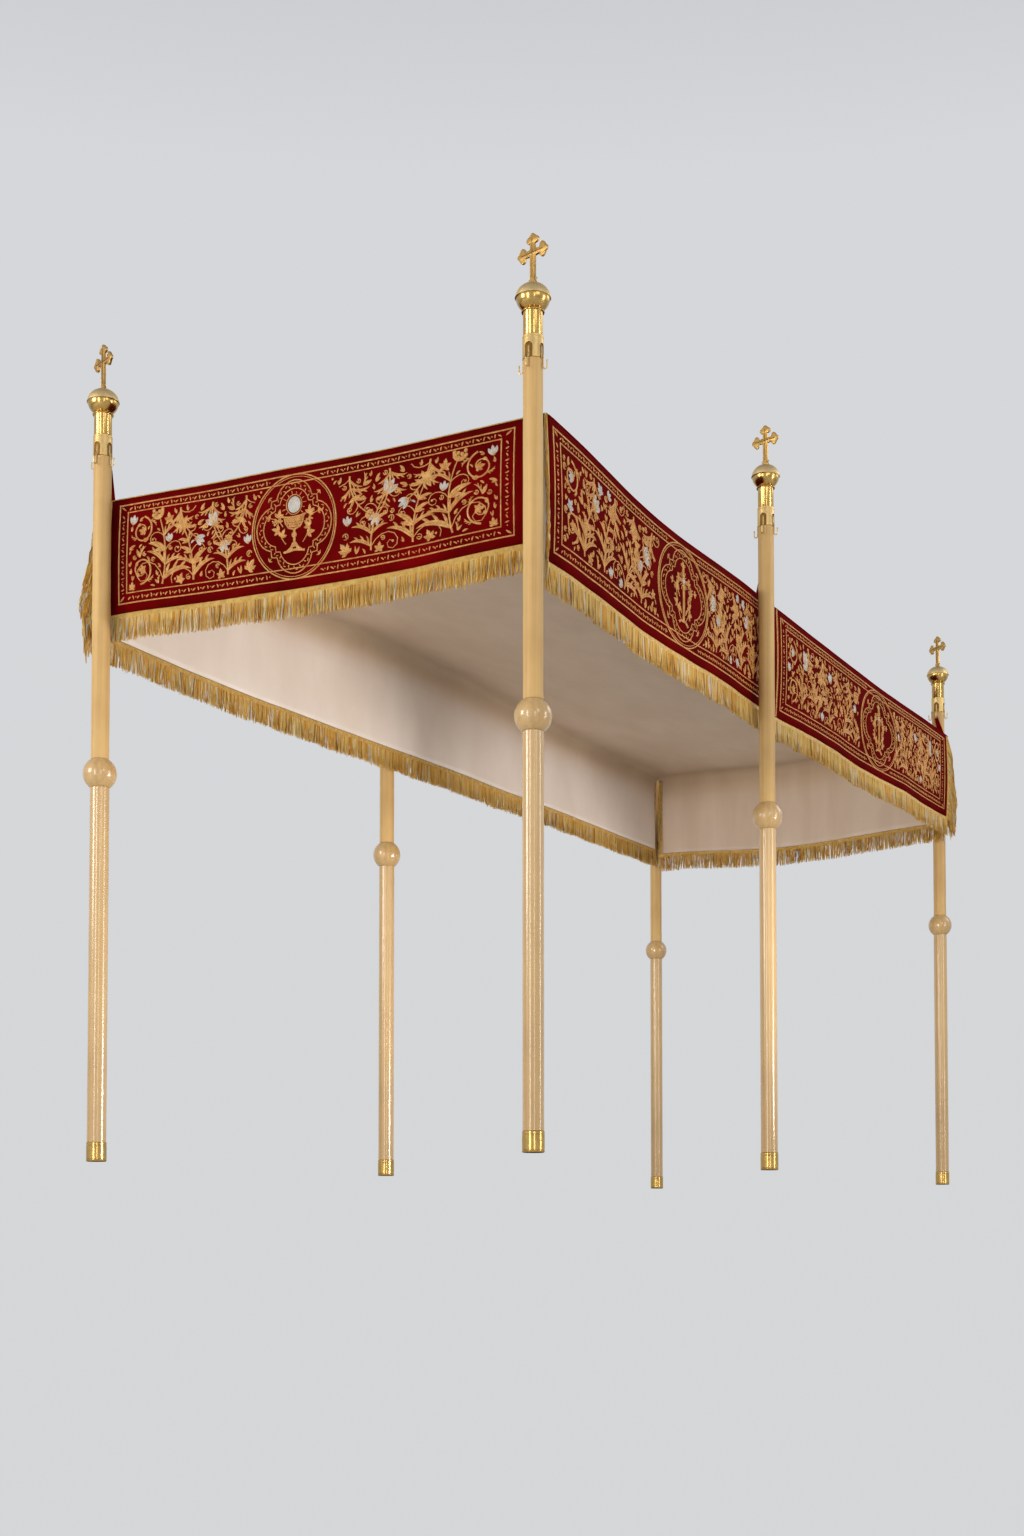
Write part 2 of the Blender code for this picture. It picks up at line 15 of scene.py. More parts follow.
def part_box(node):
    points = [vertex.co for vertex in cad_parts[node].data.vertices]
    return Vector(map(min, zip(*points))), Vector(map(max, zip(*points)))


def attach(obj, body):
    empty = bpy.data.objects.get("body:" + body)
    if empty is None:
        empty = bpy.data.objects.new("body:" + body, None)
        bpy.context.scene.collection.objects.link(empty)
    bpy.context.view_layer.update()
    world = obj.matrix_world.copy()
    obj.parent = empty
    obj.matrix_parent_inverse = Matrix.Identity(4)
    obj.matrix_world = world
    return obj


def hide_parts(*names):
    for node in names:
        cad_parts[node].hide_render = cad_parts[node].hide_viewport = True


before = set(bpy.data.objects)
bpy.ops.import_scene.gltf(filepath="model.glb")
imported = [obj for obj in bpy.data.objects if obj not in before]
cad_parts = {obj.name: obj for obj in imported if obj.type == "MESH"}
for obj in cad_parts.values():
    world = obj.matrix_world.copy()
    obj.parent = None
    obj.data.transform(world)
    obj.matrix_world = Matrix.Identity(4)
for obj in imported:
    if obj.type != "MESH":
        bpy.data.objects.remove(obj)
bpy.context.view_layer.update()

FIT_GAP = 0.0004            # clearance between pieces that touch

# Staves: heights above the floor on a stave of standard length, and radii
STAVE_HEIGHT = 2.500
FOOT_HEIGHT = 0.057
FOOT_RADIUS = 0.0305
LOWER_RADIUS = 0.0290
UPPER_RADIUS = 0.0273
KNOB_LEVEL = 1.175
KNOB_RADIUS = 0.0515
SOCKET_LEVEL = 2.148
SOCKET_HEIGHT = 0.065
SOCKET_RADIUS = 0.0290
NECK_RADIUS = 0.0270
NECK_TOP = 2.279
BALL_SEAM = 2.320
BALL_RADIUS = 0.0480
BALL_RISE = 0.041
SEAM_LIP = 0.0015
CROSS_FOOT = 2.361
TURNED_SIDES = 56

# Arched catches and J-hooks on the four quarters of each socket
NICHE_WIDTH = 0.024
NICHE_SPRING = 0.030        # height of the niche's straight sides
NICHE_DEPTH = 0.0025
CATCH_RADIUS = 0.0052
HOOK_WIRE = 0.0018
HOOK_SHANK = 0.0305         # distance of the shank from the stave's axis
HOOK_THROAT = 0.0120        # from the shank to the tip
HOOK_BOTTOM = 2.119
HOOK_TIP_RISE = 0.019

# Budded cross
CROSS_STEM = 0.0090         # half width of the bars
CROSS_THICKNESS = 0.008
CROSS_CENTRE = 2.4465
CROSS_ARM = 0.0535
CROSS_LOBE = 0.0088

# Cloth
VELVET_THICKNESS = 0.0025
LINING_THICKNESS = 0.0014
BRAID_THICKNESS = 0.0030
LINING_INSET = 0.0027       # from the middle of the velvet to the middle of the lining
COVE = 0.055                # reach of the soft turn from the ceiling into each flap
ROOF_SAG = 0.045
ROOF_FLATNESS = 1.6
BILLOW = 0.006
HEM_WAVE = 0.007
RIPPLE = 0.0016             # of the velvet, on top of its billow
CORNER_SLIT = 0.030         # bare stretch from each corner to the end of a hanging side
CORNER_FLAT = 0.060         # stretch of the roof's edge that stays level by a corner
SIDE_LENGTH = {"long": 4.08, "short": 1.51}
PIPING_RADIUS = 0.0016

# Fringe
BRAID_UP = 0.014            # width of the braid up the ends of a side, and along its hem
BRAID_DROP = 0.018
STRAND_PITCH = 0.0052
STRAND_RADIUS = 0.0023
STRAND_LENGTH = 0.068
STRAND_ROWS = 2
END_SPLAY = 35              # degrees between an end's strands and the side's own line

# At the first and last end of each side: the bare corner left by the velvet, how far the strands
# fan out from the upright braid, and how long they are
SLITS = {"front": (0.030, 0.030), "back": (0.030, 0.030), "left": (0.030, 0.030),
         "right": (0.004, 0.030)}
END_REACH = {"front": (0.087, 0.018), "back": (0.045, 0.052), "left": (0.080, 0.045),
             "right": (0.020, 0.052)}
END_LENGTH = {"front": (0.125, 0.085), "back": (0.100, 0.110), "left": (0.120, 0.100),
              "right": (0.095, 0.110)}
END_SHAPE = ((0.0, 0.36), (0.18, 0.54), (0.41, 0.66), (0.60, 0.76), (0.87, 0.95), (0.93, 1.0),
             (1.16, 0.94), (1.35, 0.62))      # down the side's end, 1 being the hem: share of the reach
END_LAYERS = 2.8
STRAND_KNOTS = 8
SILVER_SHARE = 0.055

# Embroidery: metres down a panel of the nominal height, and along its side
Panel = namedtuple("Panel", "outer inner centre half_width")
PANEL_HEIGHT = 0.360
OUTER_LINES = (0.021, 0.331)
INNER_LINES = (0.046, 0.300)
MARK_PITCH = 0.0170
LONG_PANELS = (Panel((0.036, 1.817), (0.080, 1.771), 0.988, 0.205),
               Panel((1.922, 4.012), (1.974, 3.949), 3.050, 0.225))
PANELS = {
    "front": (Panel((0.063, 1.415), (0.094, 1.375), 0.696, 0.145),),
    "back": (Panel((0.065, 1.445), (0.100, 1.410), 0.755, 0.145),),
    "left": LONG_PANELS,
    "right": LONG_PANELS,
}
PANEL_SEAM = 1.884

# Straps
STRAP_THICKNESS = 0.0025
STRAP_HALF_WIDTH = 0.016
STRAP_HEAD = 0.0072
EYELET_RADIUS = 0.0046
EYELET_PLAY = 0.0024

# turn: of the cross about the stave; hook: direction of the hook in use; reach and lean: where the
# strap lands on the roof, out from the stave's axis and sideways; all in degrees or metres
Stave = namedtuple("Stave", "name turn hook reach lean")
STAVES = (
    Stave("front_right", -15, 90, 0.068, -0.035),
    Stave("front_left", -22, 90, 0.056, -0.012),
    Stave("mid_right", -14, 90, 0.090, -0.060),
    Stave("mid_left", -14, 90, 0.090, 0.060),
    Stave("back_right", -34, 270, 0.062, 0.030),
    Stave("back_left", -20, 270, 0.068, 0.050),
)
FIRST_STAVE_PLAN = (0.725, -2.080)      # plan of the front right stave where SIDES is laid out

# Each side of the cover in plan, with the heights of its top edge and hem: share of the length, x,
# y, top, hem. It is held up at its corners and at the middle stave, and sags between them.
SIDES = {
    "front": ((0.00, -0.775, -2.030, 2.032, 1.674), (0.33, -0.275, -2.030, 2.021, 1.662),
              (0.66, 0.225, -2.030, 2.014, 1.655), (1.00, 0.740, -2.030, 2.020, 1.669)),
    "back": ((0.00, -0.705, 2.120, 2.025, 1.642), (0.50, 0.0375, 2.0475, 2.000, 1.606),
             (1.00, 0.780, 1.975, 2.024, 1.633)),
    "left": ((0.00, -0.775, -2.030, 2.032, 1.620), (0.20, -0.749, -1.215, 1.985, 1.606),
             (0.41, -0.722, -0.360, 2.014, 1.622), (0.72, -0.713, 0.943, 2.008, 1.646),
             (1.00, -0.705, 2.120, 2.025, 1.662)),
    "right": ((0.00, 0.740, -2.030, 2.020, 1.612), (0.20, 0.731, -1.215, 1.984, 1.608),
              (0.41, 0.722, -0.360, 2.014, 1.622), (0.72, 0.752, 0.867, 2.008, 1.635),
              (1.00, 0.780, 1.975, 2.024, 1.653)),
}
KIND = {"front": "short", "back": "short", "left": "long", "right": "long"}
INWARD = {"front": 1, "back": -1, "left": -1, "right": 1}
HEM_WAVES = {"front": 1.5, "back": 1.0, "left": 3.5, "right": 4.0}
CLOTH_COLUMNS = {"short": 96, "long": 250}

# Camera: it stands a little below the staves' feet and looks slightly up
CAMERA_PLACE = (3.0860, -6.8154, -0.2078)
CAMERA_YAW = 27.34
CAMERA_PITCH = 2.5
CAMERA_LENS = 46.26
CAMERA_SHIFT = 0.2452


# Node-based materials

def new_material(name):
    """A material with nothing but a Principled shader, and the tools to wire it."""
    material = bpy.data.materials.new(name)
    material.use_nodes = True
    return material, material.node_tree, material.node_tree.nodes["Principled BSDF"]


def add_node(tree, kind, settings=None, **inputs):
    """A node whose inputs are given by name, as values or as outputs to link."""
    node = tree.nodes.new(kind)
    for key, value in (settings or {}).items():
        setattr(node, key, value)
    for key, value in inputs.items():
        socket = node.inputs[int(key[1:])] if key[1:].isdigit() else node.inputs[key.replace("_", " ")]
        if isinstance(value, bpy.types.NodeSocket):
            tree.links.new(value, socket)
        else:
            socket.default_value = value
    return node


def shade(shader, **values):
    for key, value in values.items():
        shader.inputs[key.replace("_", " ")].default_value = value


def ramp(tree, factor, *stops):
    """A colour ramp of (position, colour) stops."""
    node = add_node(tree, "ShaderNodeValToRGB", i0=factor)
    elements = node.color_ramp.elements
    while len(elements) < len(stops):
        elements.new(1.0)
    for element, (position, colour) in zip(elements, stops):
        element.position = position
        element.color = (*colour, 1)
    return node.outputs[0]


def scaled_coords(tree, scale, source="Object"):
    """Texture coordinates stretched by a scale for each axis."""
    coords = add_node(tree, "ShaderNodeTexCoord").outputs[source]
    return add_node(tree, "ShaderNodeMapping", Vector=coords, Scale=scale).outputs[0]


def noise(tree, coords, scale, detail=3.0, roughness=0.5):
    return add_node(tree, "ShaderNodeTexNoise", Vector=coords, Scale=scale, Detail=detail,
                    Roughness=roughness).outputs["Fac"]


def spread(tree, value, low, high):
    """A 0 to 1 value mapped onto low to high."""
    return add_node(tree, "ShaderNodeMapRange", Value=value, i3=low, i4=high).outputs[0]


def bump(tree, shader, height, distance, strength=1.0, below=None):
    inputs = {"Height": height, "Distance": distance, "Strength": strength}
    if below is not None:
        inputs["Normal"] = below
    node = add_node(tree, "ShaderNodeBump", **inputs)
    tree.links.new(node.outputs[0], shader.inputs["Normal"])
    return node.outputs[0]


def lacquer_material(name, glow, coat, smooth, rough):
    """Cream lacquer over turned wood: streaks along the stave, fine specks and a coat of varnish."""
    material, tree, shader = new_material(name)
    streaks = noise(tree, scaled_coords(tree, (75, 75, 0.9)), 1.0, 5, 0.62)
    patches = noise(tree, scaled_coords(tree, (1, 1, 0.6)), 8.0, 3, 0.55)
    mixed = add_node(tree, "ShaderNodeMix", {"data_type": "FLOAT"}, i0=0.40, i2=streaks, i3=patches)
    tones = ((0.44, 0.262, 0.098), (0.57, 0.362, 0.142), (0.66, 0.438, 0.188))
    dark, mid, light = (tuple(channel * glow for channel in tone) for tone in tones)
    colour = ramp(tree, mixed.outputs[0], (0.32, dark), (0.52, mid), (0.70, light))
    tree.links.new(colour, shader.inputs["Base Color"])
    tree.links.new(spread(tree, streaks, smooth, rough), shader.inputs["Roughness"])
    specks = noise(tree, scaled_coords(tree, (1, 1, 0.5)), 160.0, 2, 0.6)
    bump(tree, shader, specks, 0.00003, 0.5)
    shade(shader, Coat_Weight=coat, Coat_Roughness=0.18, Coat_IOR=1.58, Specular_IOR_Level=0.22)
    return material


def brass_material(name, low, high, pale, rings):
    """Turned brass between two roughnesses, with fine rings from the lathe."""
    material, tree, shader = new_material(name)
    tone = noise(tree, scaled_coords(tree, (1, 1, 1)), 38.0, 4, 0.6)
    deep = tuple(channel * 0.80 for channel in pale)
    tree.links.new(ramp(tree, tone, (0.35, deep), (0.62, pale)), shader.inputs["Base Color"])
    tree.links.new(spread(tree, tone, low, high), shader.inputs["Roughness"])
    lathe = noise(tree, scaled_coords(tree, (3, 3, 1400)), 1.0, 2, 0.5)
    bump(tree, shader, lathe, rings, 0.6)
    shade(shader, Metallic=1.0)
    return material


def velvet_material(name="red velvet", glow=1.0):
    """Deep red silk velvet: a dense short pile, shaded where it is brushed the other way."""
    material, tree, shader = new_material(name)
    brushed = noise(tree, scaled_coords(tree, (1, 1, 1)), 5.5, 4, 0.6)
    pile = noise(tree, scaled_coords(tree, (1, 1, 1)), 900.0, 2, 0.7)
    mixed = add_node(tree, "ShaderNodeMix", {"data_type": "FLOAT"}, i0=0.35, i2=brushed, i3=pile)
    tones = ((0.056, 0.0004, 0.0006), (0.104, 0.0006, 0.0010), (0.165, 0.0010, 0.0018))
    dark, mid, light = (tuple(channel * glow for channel in tone) for tone in tones)
    colour = ramp(tree, mixed.outputs[0], (0.32, dark), (0.52, mid), (0.72, light))
    tree.links.new(colour, shader.inputs["Base Color"])
    bump(tree, shader, pile, 0.0006, 0.6)
    shade(shader, Roughness=0.9, Sheen_Weight=0.14, Sheen_Roughness=0.30,
          Sheen_Tint=(0.90, 0.015, 0.02, 1), Specular_IOR_Level=0.02)
    return material


def satin_material():
    """Cream satin lining: soft lustre, faint creases and a fine weave, with painted shade."""
    material, tree, shader = new_material("cream satin")
    creases = noise(tree, scaled_coords(tree, (6, 2.2, 1.2)), 1.5, 5, 0.55)
    pulls = noise(tree, scaled_coords(tree, (26, 26, 1.5)), 1.0, 3, 0.5)
    weave = noise(tree, scaled_coords(tree, (1, 0.35, 1)), 1300.0, 1, 0.5)
    # painted shade: the colour follows the crease bumps and is darker in their hollows
    colour = ramp(tree, creases, (0.35, (0.70, 0.60, 0.52)), (0.65, (0.78, 0.69, 0.62)))
    # painted shade: a value per point on the mesh darkens and browns the satin, most along the turn into
    # each flap
    painted_shade = add_node(tree, "ShaderNodeAttribute", {"attribute_name": "painted_shade"}).outputs["Fac"]
    shade_darkened_colour = add_node(tree, "ShaderNodeMix", {"data_type": "RGBA", "blend_type": "MULTIPLY"},
                    i0=1.0, i6=colour, i7=ramp(tree, painted_shade, (0.0, (1, 1, 1)), (0.5, (0.76, 0.655, 0.53)),
                                               (1.0, (0.47, 0.37, 0.25))))
    tree.links.new(shade_darkened_colour.outputs[2], shader.inputs["Base Color"])
    tree.links.new(spread(tree, creases, 0.44, 0.60), shader.inputs["Roughness"])
    under = bump(tree, shader, creases, 0.010, 0.35)
    drawn = bump(tree, shader, pulls, 0.004, 0.30, under)
    bump(tree, shader, weave, 0.0002, 0.4, drawn)
    shade(shader, Sheen_Weight=0.15, Sheen_Roughness=0.4, Sheen_Tint=(0.95, 0.90, 0.86, 1),
          Specular_IOR_Level=0.30)
    return material


def thread_material(name, deep, mid, light, metallic, twist, relief, roughness, edge=None):
    """Metal thread laid side by side: the thread's run is the mesh's own map, in metres. An edge
    colour darkens the thread, as painted shade, where the mesh's padding is low: edges and midribs.
    """
    material, tree, shader = new_material(name)
    run = add_node(tree, "ShaderNodeUVMap", {"uv_map": "thread"}).outputs[0]
    slanted = add_node(tree, "ShaderNodeMapping", Vector=run, Rotation=(0, 0, radians(28)),
                       Scale=(twist, twist, twist)).outputs[0]
    wave = add_node(tree, "ShaderNodeTexWave", Vector=slanted, Scale=1.0, Distortion=1.5,
                    Detail=2.0, i4=1.5).outputs["Fac"]
    tone = noise(tree, scaled_coords(tree, (1, 1, 1)), 60.0, 3, 0.6)
    mixed = add_node(tree, "ShaderNodeMix", {"data_type": "FLOAT"}, i0=0.40, i2=tone, i3=wave)
    colour = ramp(tree, mixed.outputs[0], (0.38, deep), (0.49, mid), (0.61, light))
    # painted shade: darker thread at each strip's edges and along the sunk midribs, where padding is low
    if edge:
        padding = add_node(tree, "ShaderNodeAttribute", {"attribute_name": "padding"}).outputs["Fac"]
        outlined = add_node(tree, "ShaderNodeMix", {"data_type": "RGBA", "blend_type": "MULTIPLY"},
                            i0=1.0, i6=colour, i7=ramp(tree, padding, (0.06, edge), (0.38, (1, 1, 1))))
        colour = outlined.outputs[2]
    tree.links.new(colour, shader.inputs["Base Color"])
    bump(tree, shader, wave, relief, 0.8)
    shade(shader, Metallic=metallic, Roughness=roughness)
    return material


def strand_material():
    """Twisted gold strands, each with its own tone, and a few of silver-white thread."""
    material, tree, shader = new_material("gold fringe")
    tone = add_node(tree, "ShaderNodeAttribute", {"attribute_name": "tone"}).outputs["Fac"]
    run = add_node(tree, "ShaderNodeUVMap", {"uv_map": "thread"}).outputs[0]
    slanted = add_node(tree, "ShaderNodeMapping", Vector=run, Rotation=(0, 0, radians(35)),
                       Scale=(190, 190, 190)).outputs[0]
    wave = add_node(tree, "ShaderNodeTexWave", Vector=slanted, Scale=1.0, Distortion=0.6,
                    Detail=1.0).outputs["Fac"]
    colour = ramp(tree, tone, (0.00, (0.36, 0.145, 0.012)), (0.40, (0.95, 0.50, 0.070)),
                  (0.86, (1.0, 0.82, 0.34)), (0.90, (0.84, 0.79, 0.66)), (1.0, (0.96, 0.94, 0.86)))
    shaded = add_node(tree, "ShaderNodeMix", {"data_type": "RGBA", "blend_type": "MULTIPLY"},
                      i0=0.30, i6=colour, i7=ramp(tree, wave, (0.1, (0.36, 0.26, 0.12)),
                                                  (0.55, (1, 1, 1))))
    tree.links.new(shaded.outputs[2], shader.inputs["Base Color"])
    bump(tree, shader, wave, 0.0009, 0.8)
    shade(shader, Metallic=0.20, Roughness=0.48)
    return material


# Meshes

def add_mesh(name, points, faces, *materials, thread=None, smooth=True):
    """A mesh object; thread gives each point its place on the thread map, in metres."""
    mesh = bpy.data.meshes.new(name)
    mesh.from_pydata(np.asarray(points, float).tolist(), [], faces)
    for material in materials:
        mesh.materials.append(material)
    if thread is not None:
        layer = mesh.uv_layers.new(name="thread")
        corners = np.empty(len(mesh.loops), np.int32)
        mesh.loops.foreach_get("vertex_index", corners)
        layer.data.foreach_set("uv", np.asarray(thread, np.float32)[corners].ravel())
    if smooth:
        mesh.shade_smooth()
    obj = bpy.data.objects.new(name, mesh)
    bpy.context.scene.collection.objects.link(obj)
    return obj


def rides(obj, slot, *nodes):
    """The piece goes with the canopy's one body, in place of the nodes named."""
    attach(obj, "root")
    if nodes:
        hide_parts(*nodes)
    return obj


def grid_faces(columns, rows, start=0):
    """Quads of a grid whose points run along its rows, column by column."""
    return [(a, a + rows, a + rows + 1, a + 1)
            for column in range(columns - 1) for row in range(rows - 1)
            for a in (start + column * rows + row,)]


def thicken(obj, thickness):
    solidify = obj.modifiers.new("Thickness", "SOLIDIFY")
    solidify.thickness = thickness
    solidify.offset = 0


def turned_form(profile, sides=TURNED_SIDES, start=0):
    """Points and faces turned about the Z axis from (radius, height) pairs, top first."""
    points, rings, faces = [], [], []
    for radius, height in profile:
        count = sides if radius > 1e-6 else 1
        rings.append([start + len(points) + i for i in range(count)])
        points += [(radius * cos(2 * pi * i / sides), radius * sin(2 * pi * i / sides), height)
                   for i in range(count)]
    for upper, lower in zip(rings, rings[1:]):
        for i in range(sides):
            j = (i + 1) % sides
            corners = (upper[i % len(upper)], lower[i % len(lower)],
                       lower[j % len(lower)], upper[j % len(upper)])
            face = tuple(dict.fromkeys(corners))
            if len(face) > 2:
                faces.append(face)
    return points, faces


def turned_mesh(name, profile, material):
    points, faces = turned_form(profile)
    mesh = bpy.data.meshes.new(name)
    mesh.from_pydata(points, [], faces)
    mesh.materials.append(material)
    mesh.shade_smooth()
    mesh.set_sharp_from_angle(angle=radians(38))
    return mesh


def arc(radius_out, radius_up, centre_height, start, end, steps):
    """Points of an elliptic arc about the axis; angles in degrees up from the equator."""
    turns = [radians(start + (end - start) * i / steps) for i in range(steps + 1)]
    return [(radius_out * cos(turn), centre_height + radius_up * sin(turn)) for turn in turns]


def knob_seat(radius):
    """Height above the knob's centre at which a shaft of this radius meets it."""
    return sqrt(KNOB_RADIUS ** 2 - radius ** 2)


def foot_profile():
    lip, groove = 0.0012, 0.0008
    return [(0, FOOT_HEIGHT), (FOOT_RADIUS - lip, FOOT_HEIGHT), (FOOT_RADIUS, FOOT_HEIGHT - lip),
            (FOOT_RADIUS, 0.0500), (FOOT_RADIUS - groove, 0.0492), (FOOT_RADIUS - groove, 0.0480),
            (FOOT_RADIUS, 0.0472), (FOOT_RADIUS, 0.0085), (FOOT_RADIUS - groove, 0.0078),
            (FOOT_RADIUS - groove, 0.0068), (FOOT_RADIUS, 0.0060), (FOOT_RADIUS, 0.0030),
            (FOOT_RADIUS - 0.0009, 0.0009), (FOOT_RADIUS - 0.003, 0), (0, 0)]


def shaft_profile(radius, top, bottom):
    """A turned shaft with eased ends and the slight waver of a hand-lacquered stave."""
    ease = 0.0008
    rings = 14
    middle = [(radius + 0.00018 * sin(2.3 * i), top - ease - (top - bottom - 2 * ease) * i / rings)
              for i in range(rings + 1)]
    return [(0, top), (radius - ease, top), *middle, (radius - ease, bottom), (0, bottom)]


def knob_profile():
    top, bottom = knob_seat(UPPER_RADIUS), knob_seat(LOWER_RADIUS)
    ball = arc(KNOB_RADIUS, KNOB_RADIUS, KNOB_LEVEL, 58, -55.7, 30)
    ball[0] = (UPPER_RADIUS, KNOB_LEVEL + top)
    ball[-1] = (LOWER_RADIUS, KNOB_LEVEL - bottom)
    return [(0, KNOB_LEVEL + top), *ball, (0, KNOB_LEVEL - bottom)]


def dome_profile():
    """Upper half of the finial's ball, down to its seam."""
    dome = arc(BALL_RADIUS, BALL_RISE, BALL_SEAM, 78, 3, 18)
    lip = BALL_RADIUS + SEAM_LIP
    return [(0, CROSS_FOOT), (0.0075, CROSS_FOOT), (0.0095, CROSS_FOOT - 0.0012), *dome,
            (lip, BALL_SEAM + 0.0011), (lip, BALL_SEAM)]


def bowl_profile():
    """Lower half of the ball, its ring and the neck."""
    lip = BALL_RADIUS + SEAM_LIP
    bowl = arc(BALL_RADIUS - SEAM_LIP, BALL_RISE, BALL_SEAM, -4, -54, 16)
    ring = NECK_RADIUS + 0.004
    base = SOCKET_LEVEL + SOCKET_HEIGHT + FIT_GAP
    bead = [(ring + 0.0012 * sin(pi * i / 6), NECK_TOP + 0.004 * (1 - i / 6)) for i in range(7)]
    return [(lip, BALL_SEAM), (lip, BALL_SEAM - 0.0010), *bowl, *bead,
            (NECK_RADIUS + 0.0004, NECK_TOP - 0.0004), (NECK_RADIUS, NECK_TOP - 0.0016),
            (NECK_RADIUS, base + 0.0012), (NECK_RADIUS - 0.0008, base), (0, base)]


def finial_mesh(dome_material, bowl_material):
    points, faces = turned_form(dome_profile())
    dome_faces = len(faces)
    more, bowl_faces = turned_form(bowl_profile(), start=len(points))
    mesh = bpy.data.meshes.new("finial")
    mesh.from_pydata(points + more, [], faces + bowl_faces)
    for material in (dome_material, bowl_material):
        mesh.materials.append(material)
    slots = [0] * dome_faces + [1] * len(bowl_faces)
    mesh.polygons.foreach_set("material_index", slots)
    mesh.shade_smooth()
    mesh.set_sharp_from_angle(angle=radians(38))
    return mesh


def curve_object(name, lines, depth, material=None, cyclic=False, dimensions="3D", extrude=0.0,
                 resolution=3):
    """A curve of poly lines, round with depth, or a filled plate with extrude."""
    curve = bpy.data.curves.new(name, "CURVE")
    curve.dimensions = dimensions
    curve.bevel_depth = depth
    curve.bevel_resolution = resolution
    curve.extrude = extrude
    curve.use_fill_caps = True
    if dimensions == "2D":
        curve.fill_mode = "BOTH"
    for line in lines:
        spline = curve.splines.new("POLY")
        spline.points.add(len(line) - 1)
        flat = [tuple(point) if len(point) == 3 else (*point, 0) for point in line]
        spline.points.foreach_set("co", [value for point in flat for value in (*point, 1)])
        spline.use_cyclic_u = cyclic
    if material:
        curve.materials.append(material)
    obj = bpy.data.objects.new(name, curve)
    bpy.context.scene.collection.objects.link(obj)
    return obj


def baked(obj):
    """The object's mesh with its modifiers applied and its loose caps welded."""
    mesh = bpy.data.meshes.new_from_object(obj.evaluated_get(bpy.context.evaluated_depsgraph_get()))
    import bmesh
    form = bmesh.new()
    form.from_mesh(mesh)
    bmesh.ops.remove_doubles(form, verts=form.verts, dist=0.00001)
    form.to_mesh(mesh)
    form.free()
    return mesh


def hook_points():
    tip = HOOK_SHANK + HOOK_THROAT
    middle = HOOK_SHANK + HOOK_THROAT / 2
    bow = [radians(180 + 15 * i) for i in range(13)]
    round_part = [(middle + HOOK_THROAT / 2 * cos(turn), 0,
                   HOOK_BOTTOM + HOOK_THROAT / 2 * (1 + sin(turn))) for turn in bow]
    start = [(SOCKET_RADIUS - 0.004, 0, SOCKET_LEVEL + 0.012),
             (HOOK_SHANK - 0.0012, 0, SOCKET_LEVEL + 0.0105),
             (HOOK_SHANK, 0, SOCKET_LEVEL + 0.008)]
    return [*start, *round_part, (tip, 0, HOOK_BOTTOM + HOOK_TIP_RISE)]


def catch_points():
    """The upright roll of the catch inside a niche."""
    out = SOCKET_RADIUS - NICHE_DEPTH - 0.0012
    top = SOCKET_LEVEL + NICHE_SPRING - 0.001
    return [(out, 0, SOCKET_LEVEL + 0.0022), (out, 0, top), (out - 0.0015, 0, top + 0.0035)]


def niche_outline():
    half = NICHE_WIDTH / 2
    crown = [radians(12 * i) for i in range(16)]
    arch = [(half * cos(turn), NICHE_SPRING + half * sin(turn)) for turn in crown]
    return [(half, -0.01), *arch, (-half, -0.01)]


def socket_mesh(material, dark):
    """A collar with an arched niche, a rolled catch and a J-hook on each of its four quarters."""
    top, edge, line = SOCKET_LEVEL + SOCKET_HEIGHT, 0.0008, SOCKET_LEVEL + 0.0575
    profile = [(0, top), (SOCKET_RADIUS - edge, top), (SOCKET_RADIUS, top - edge),
               (SOCKET_RADIUS, line + 0.0006), (SOCKET_RADIUS - 0.0007, line),
               (SOCKET_RADIUS, line - 0.0006), (SOCKET_RADIUS, SOCKET_LEVEL + edge),
               (SOCKET_RADIUS - edge, SOCKET_LEVEL + FIT_GAP), (0, SOCKET_LEVEL + FIT_GAP)]
    points, faces = turned_form(profile, 72)
    collar = add_mesh("collar", points, faces, material)
    half_plate = NICHE_DEPTH * 2
    upright = Matrix.Rotation(pi / 2, 4, "Z") @ Matrix.Rotation(pi / 2, 4, "X")
    out = Matrix.Translation((SOCKET_RADIUS - NICHE_DEPTH + half_plate, 0, SOCKET_LEVEL))
    tools = []
    for quarter in range(4):
        turn = Matrix.Rotation(quarter * pi / 2, 4, "Z")
        plate = curve_object("niche", [niche_outline()], 0, dimensions="2D", cyclic=True,
                             extrude=half_plate)
        cutter = bpy.data.objects.new("cutter", baked(plate))
        bpy.context.scene.collection.objects.link(cutter)
        cutter.matrix_world = turn @ out @ upright
        boolean = collar.modifiers.new("Niche", "BOOLEAN")
        boolean.object = cutter
        tools += [plate, cutter]
    bpy.context.view_layer.update()
    mesh = baked(collar)
    fittings = []
    for quarter in range(4):
        spin = Matrix.Rotation(quarter * pi / 2, 3, "Z")
        fittings.append([spin @ Vector(point) for point in hook_points()])
    wires = curve_object("hooks", fittings, HOOK_WIRE, material)
    rolls = curve_object("rolls", [[Matrix.Rotation(q * pi / 2, 3, "Z") @ Vector(point)
                                    for point in catch_points()] for q in range(4)],
                         CATCH_RADIUS * 0.62, material)
    tips = add_mesh("tips", *ball_tips(), material)
    bpy.context.view_layer.update()
    joined = join_meshes("socket", [(mesh, 0), (baked(wires), 0), (baked(rolls), 0), (baked(tips), 0)],
                         material, dark)
    # painted shade: the faces inside each niche take the dark brass
    for polygon in joined.polygons[:len(mesh.polygons)]:
        middle = polygon.center
        if middle.xy.length < SOCKET_RADIUS - 0.0007 and abs(middle.z - SOCKET_LEVEL - 0.022) < 0.021:
            polygon.material_index = 1
    for tool in [collar, wires, rolls, tips, *tools]:
        bpy.data.objects.remove(tool, do_unlink=True)
    joined.shade_smooth()
    joined.set_sharp_from_angle(angle=radians(35))
    return joined


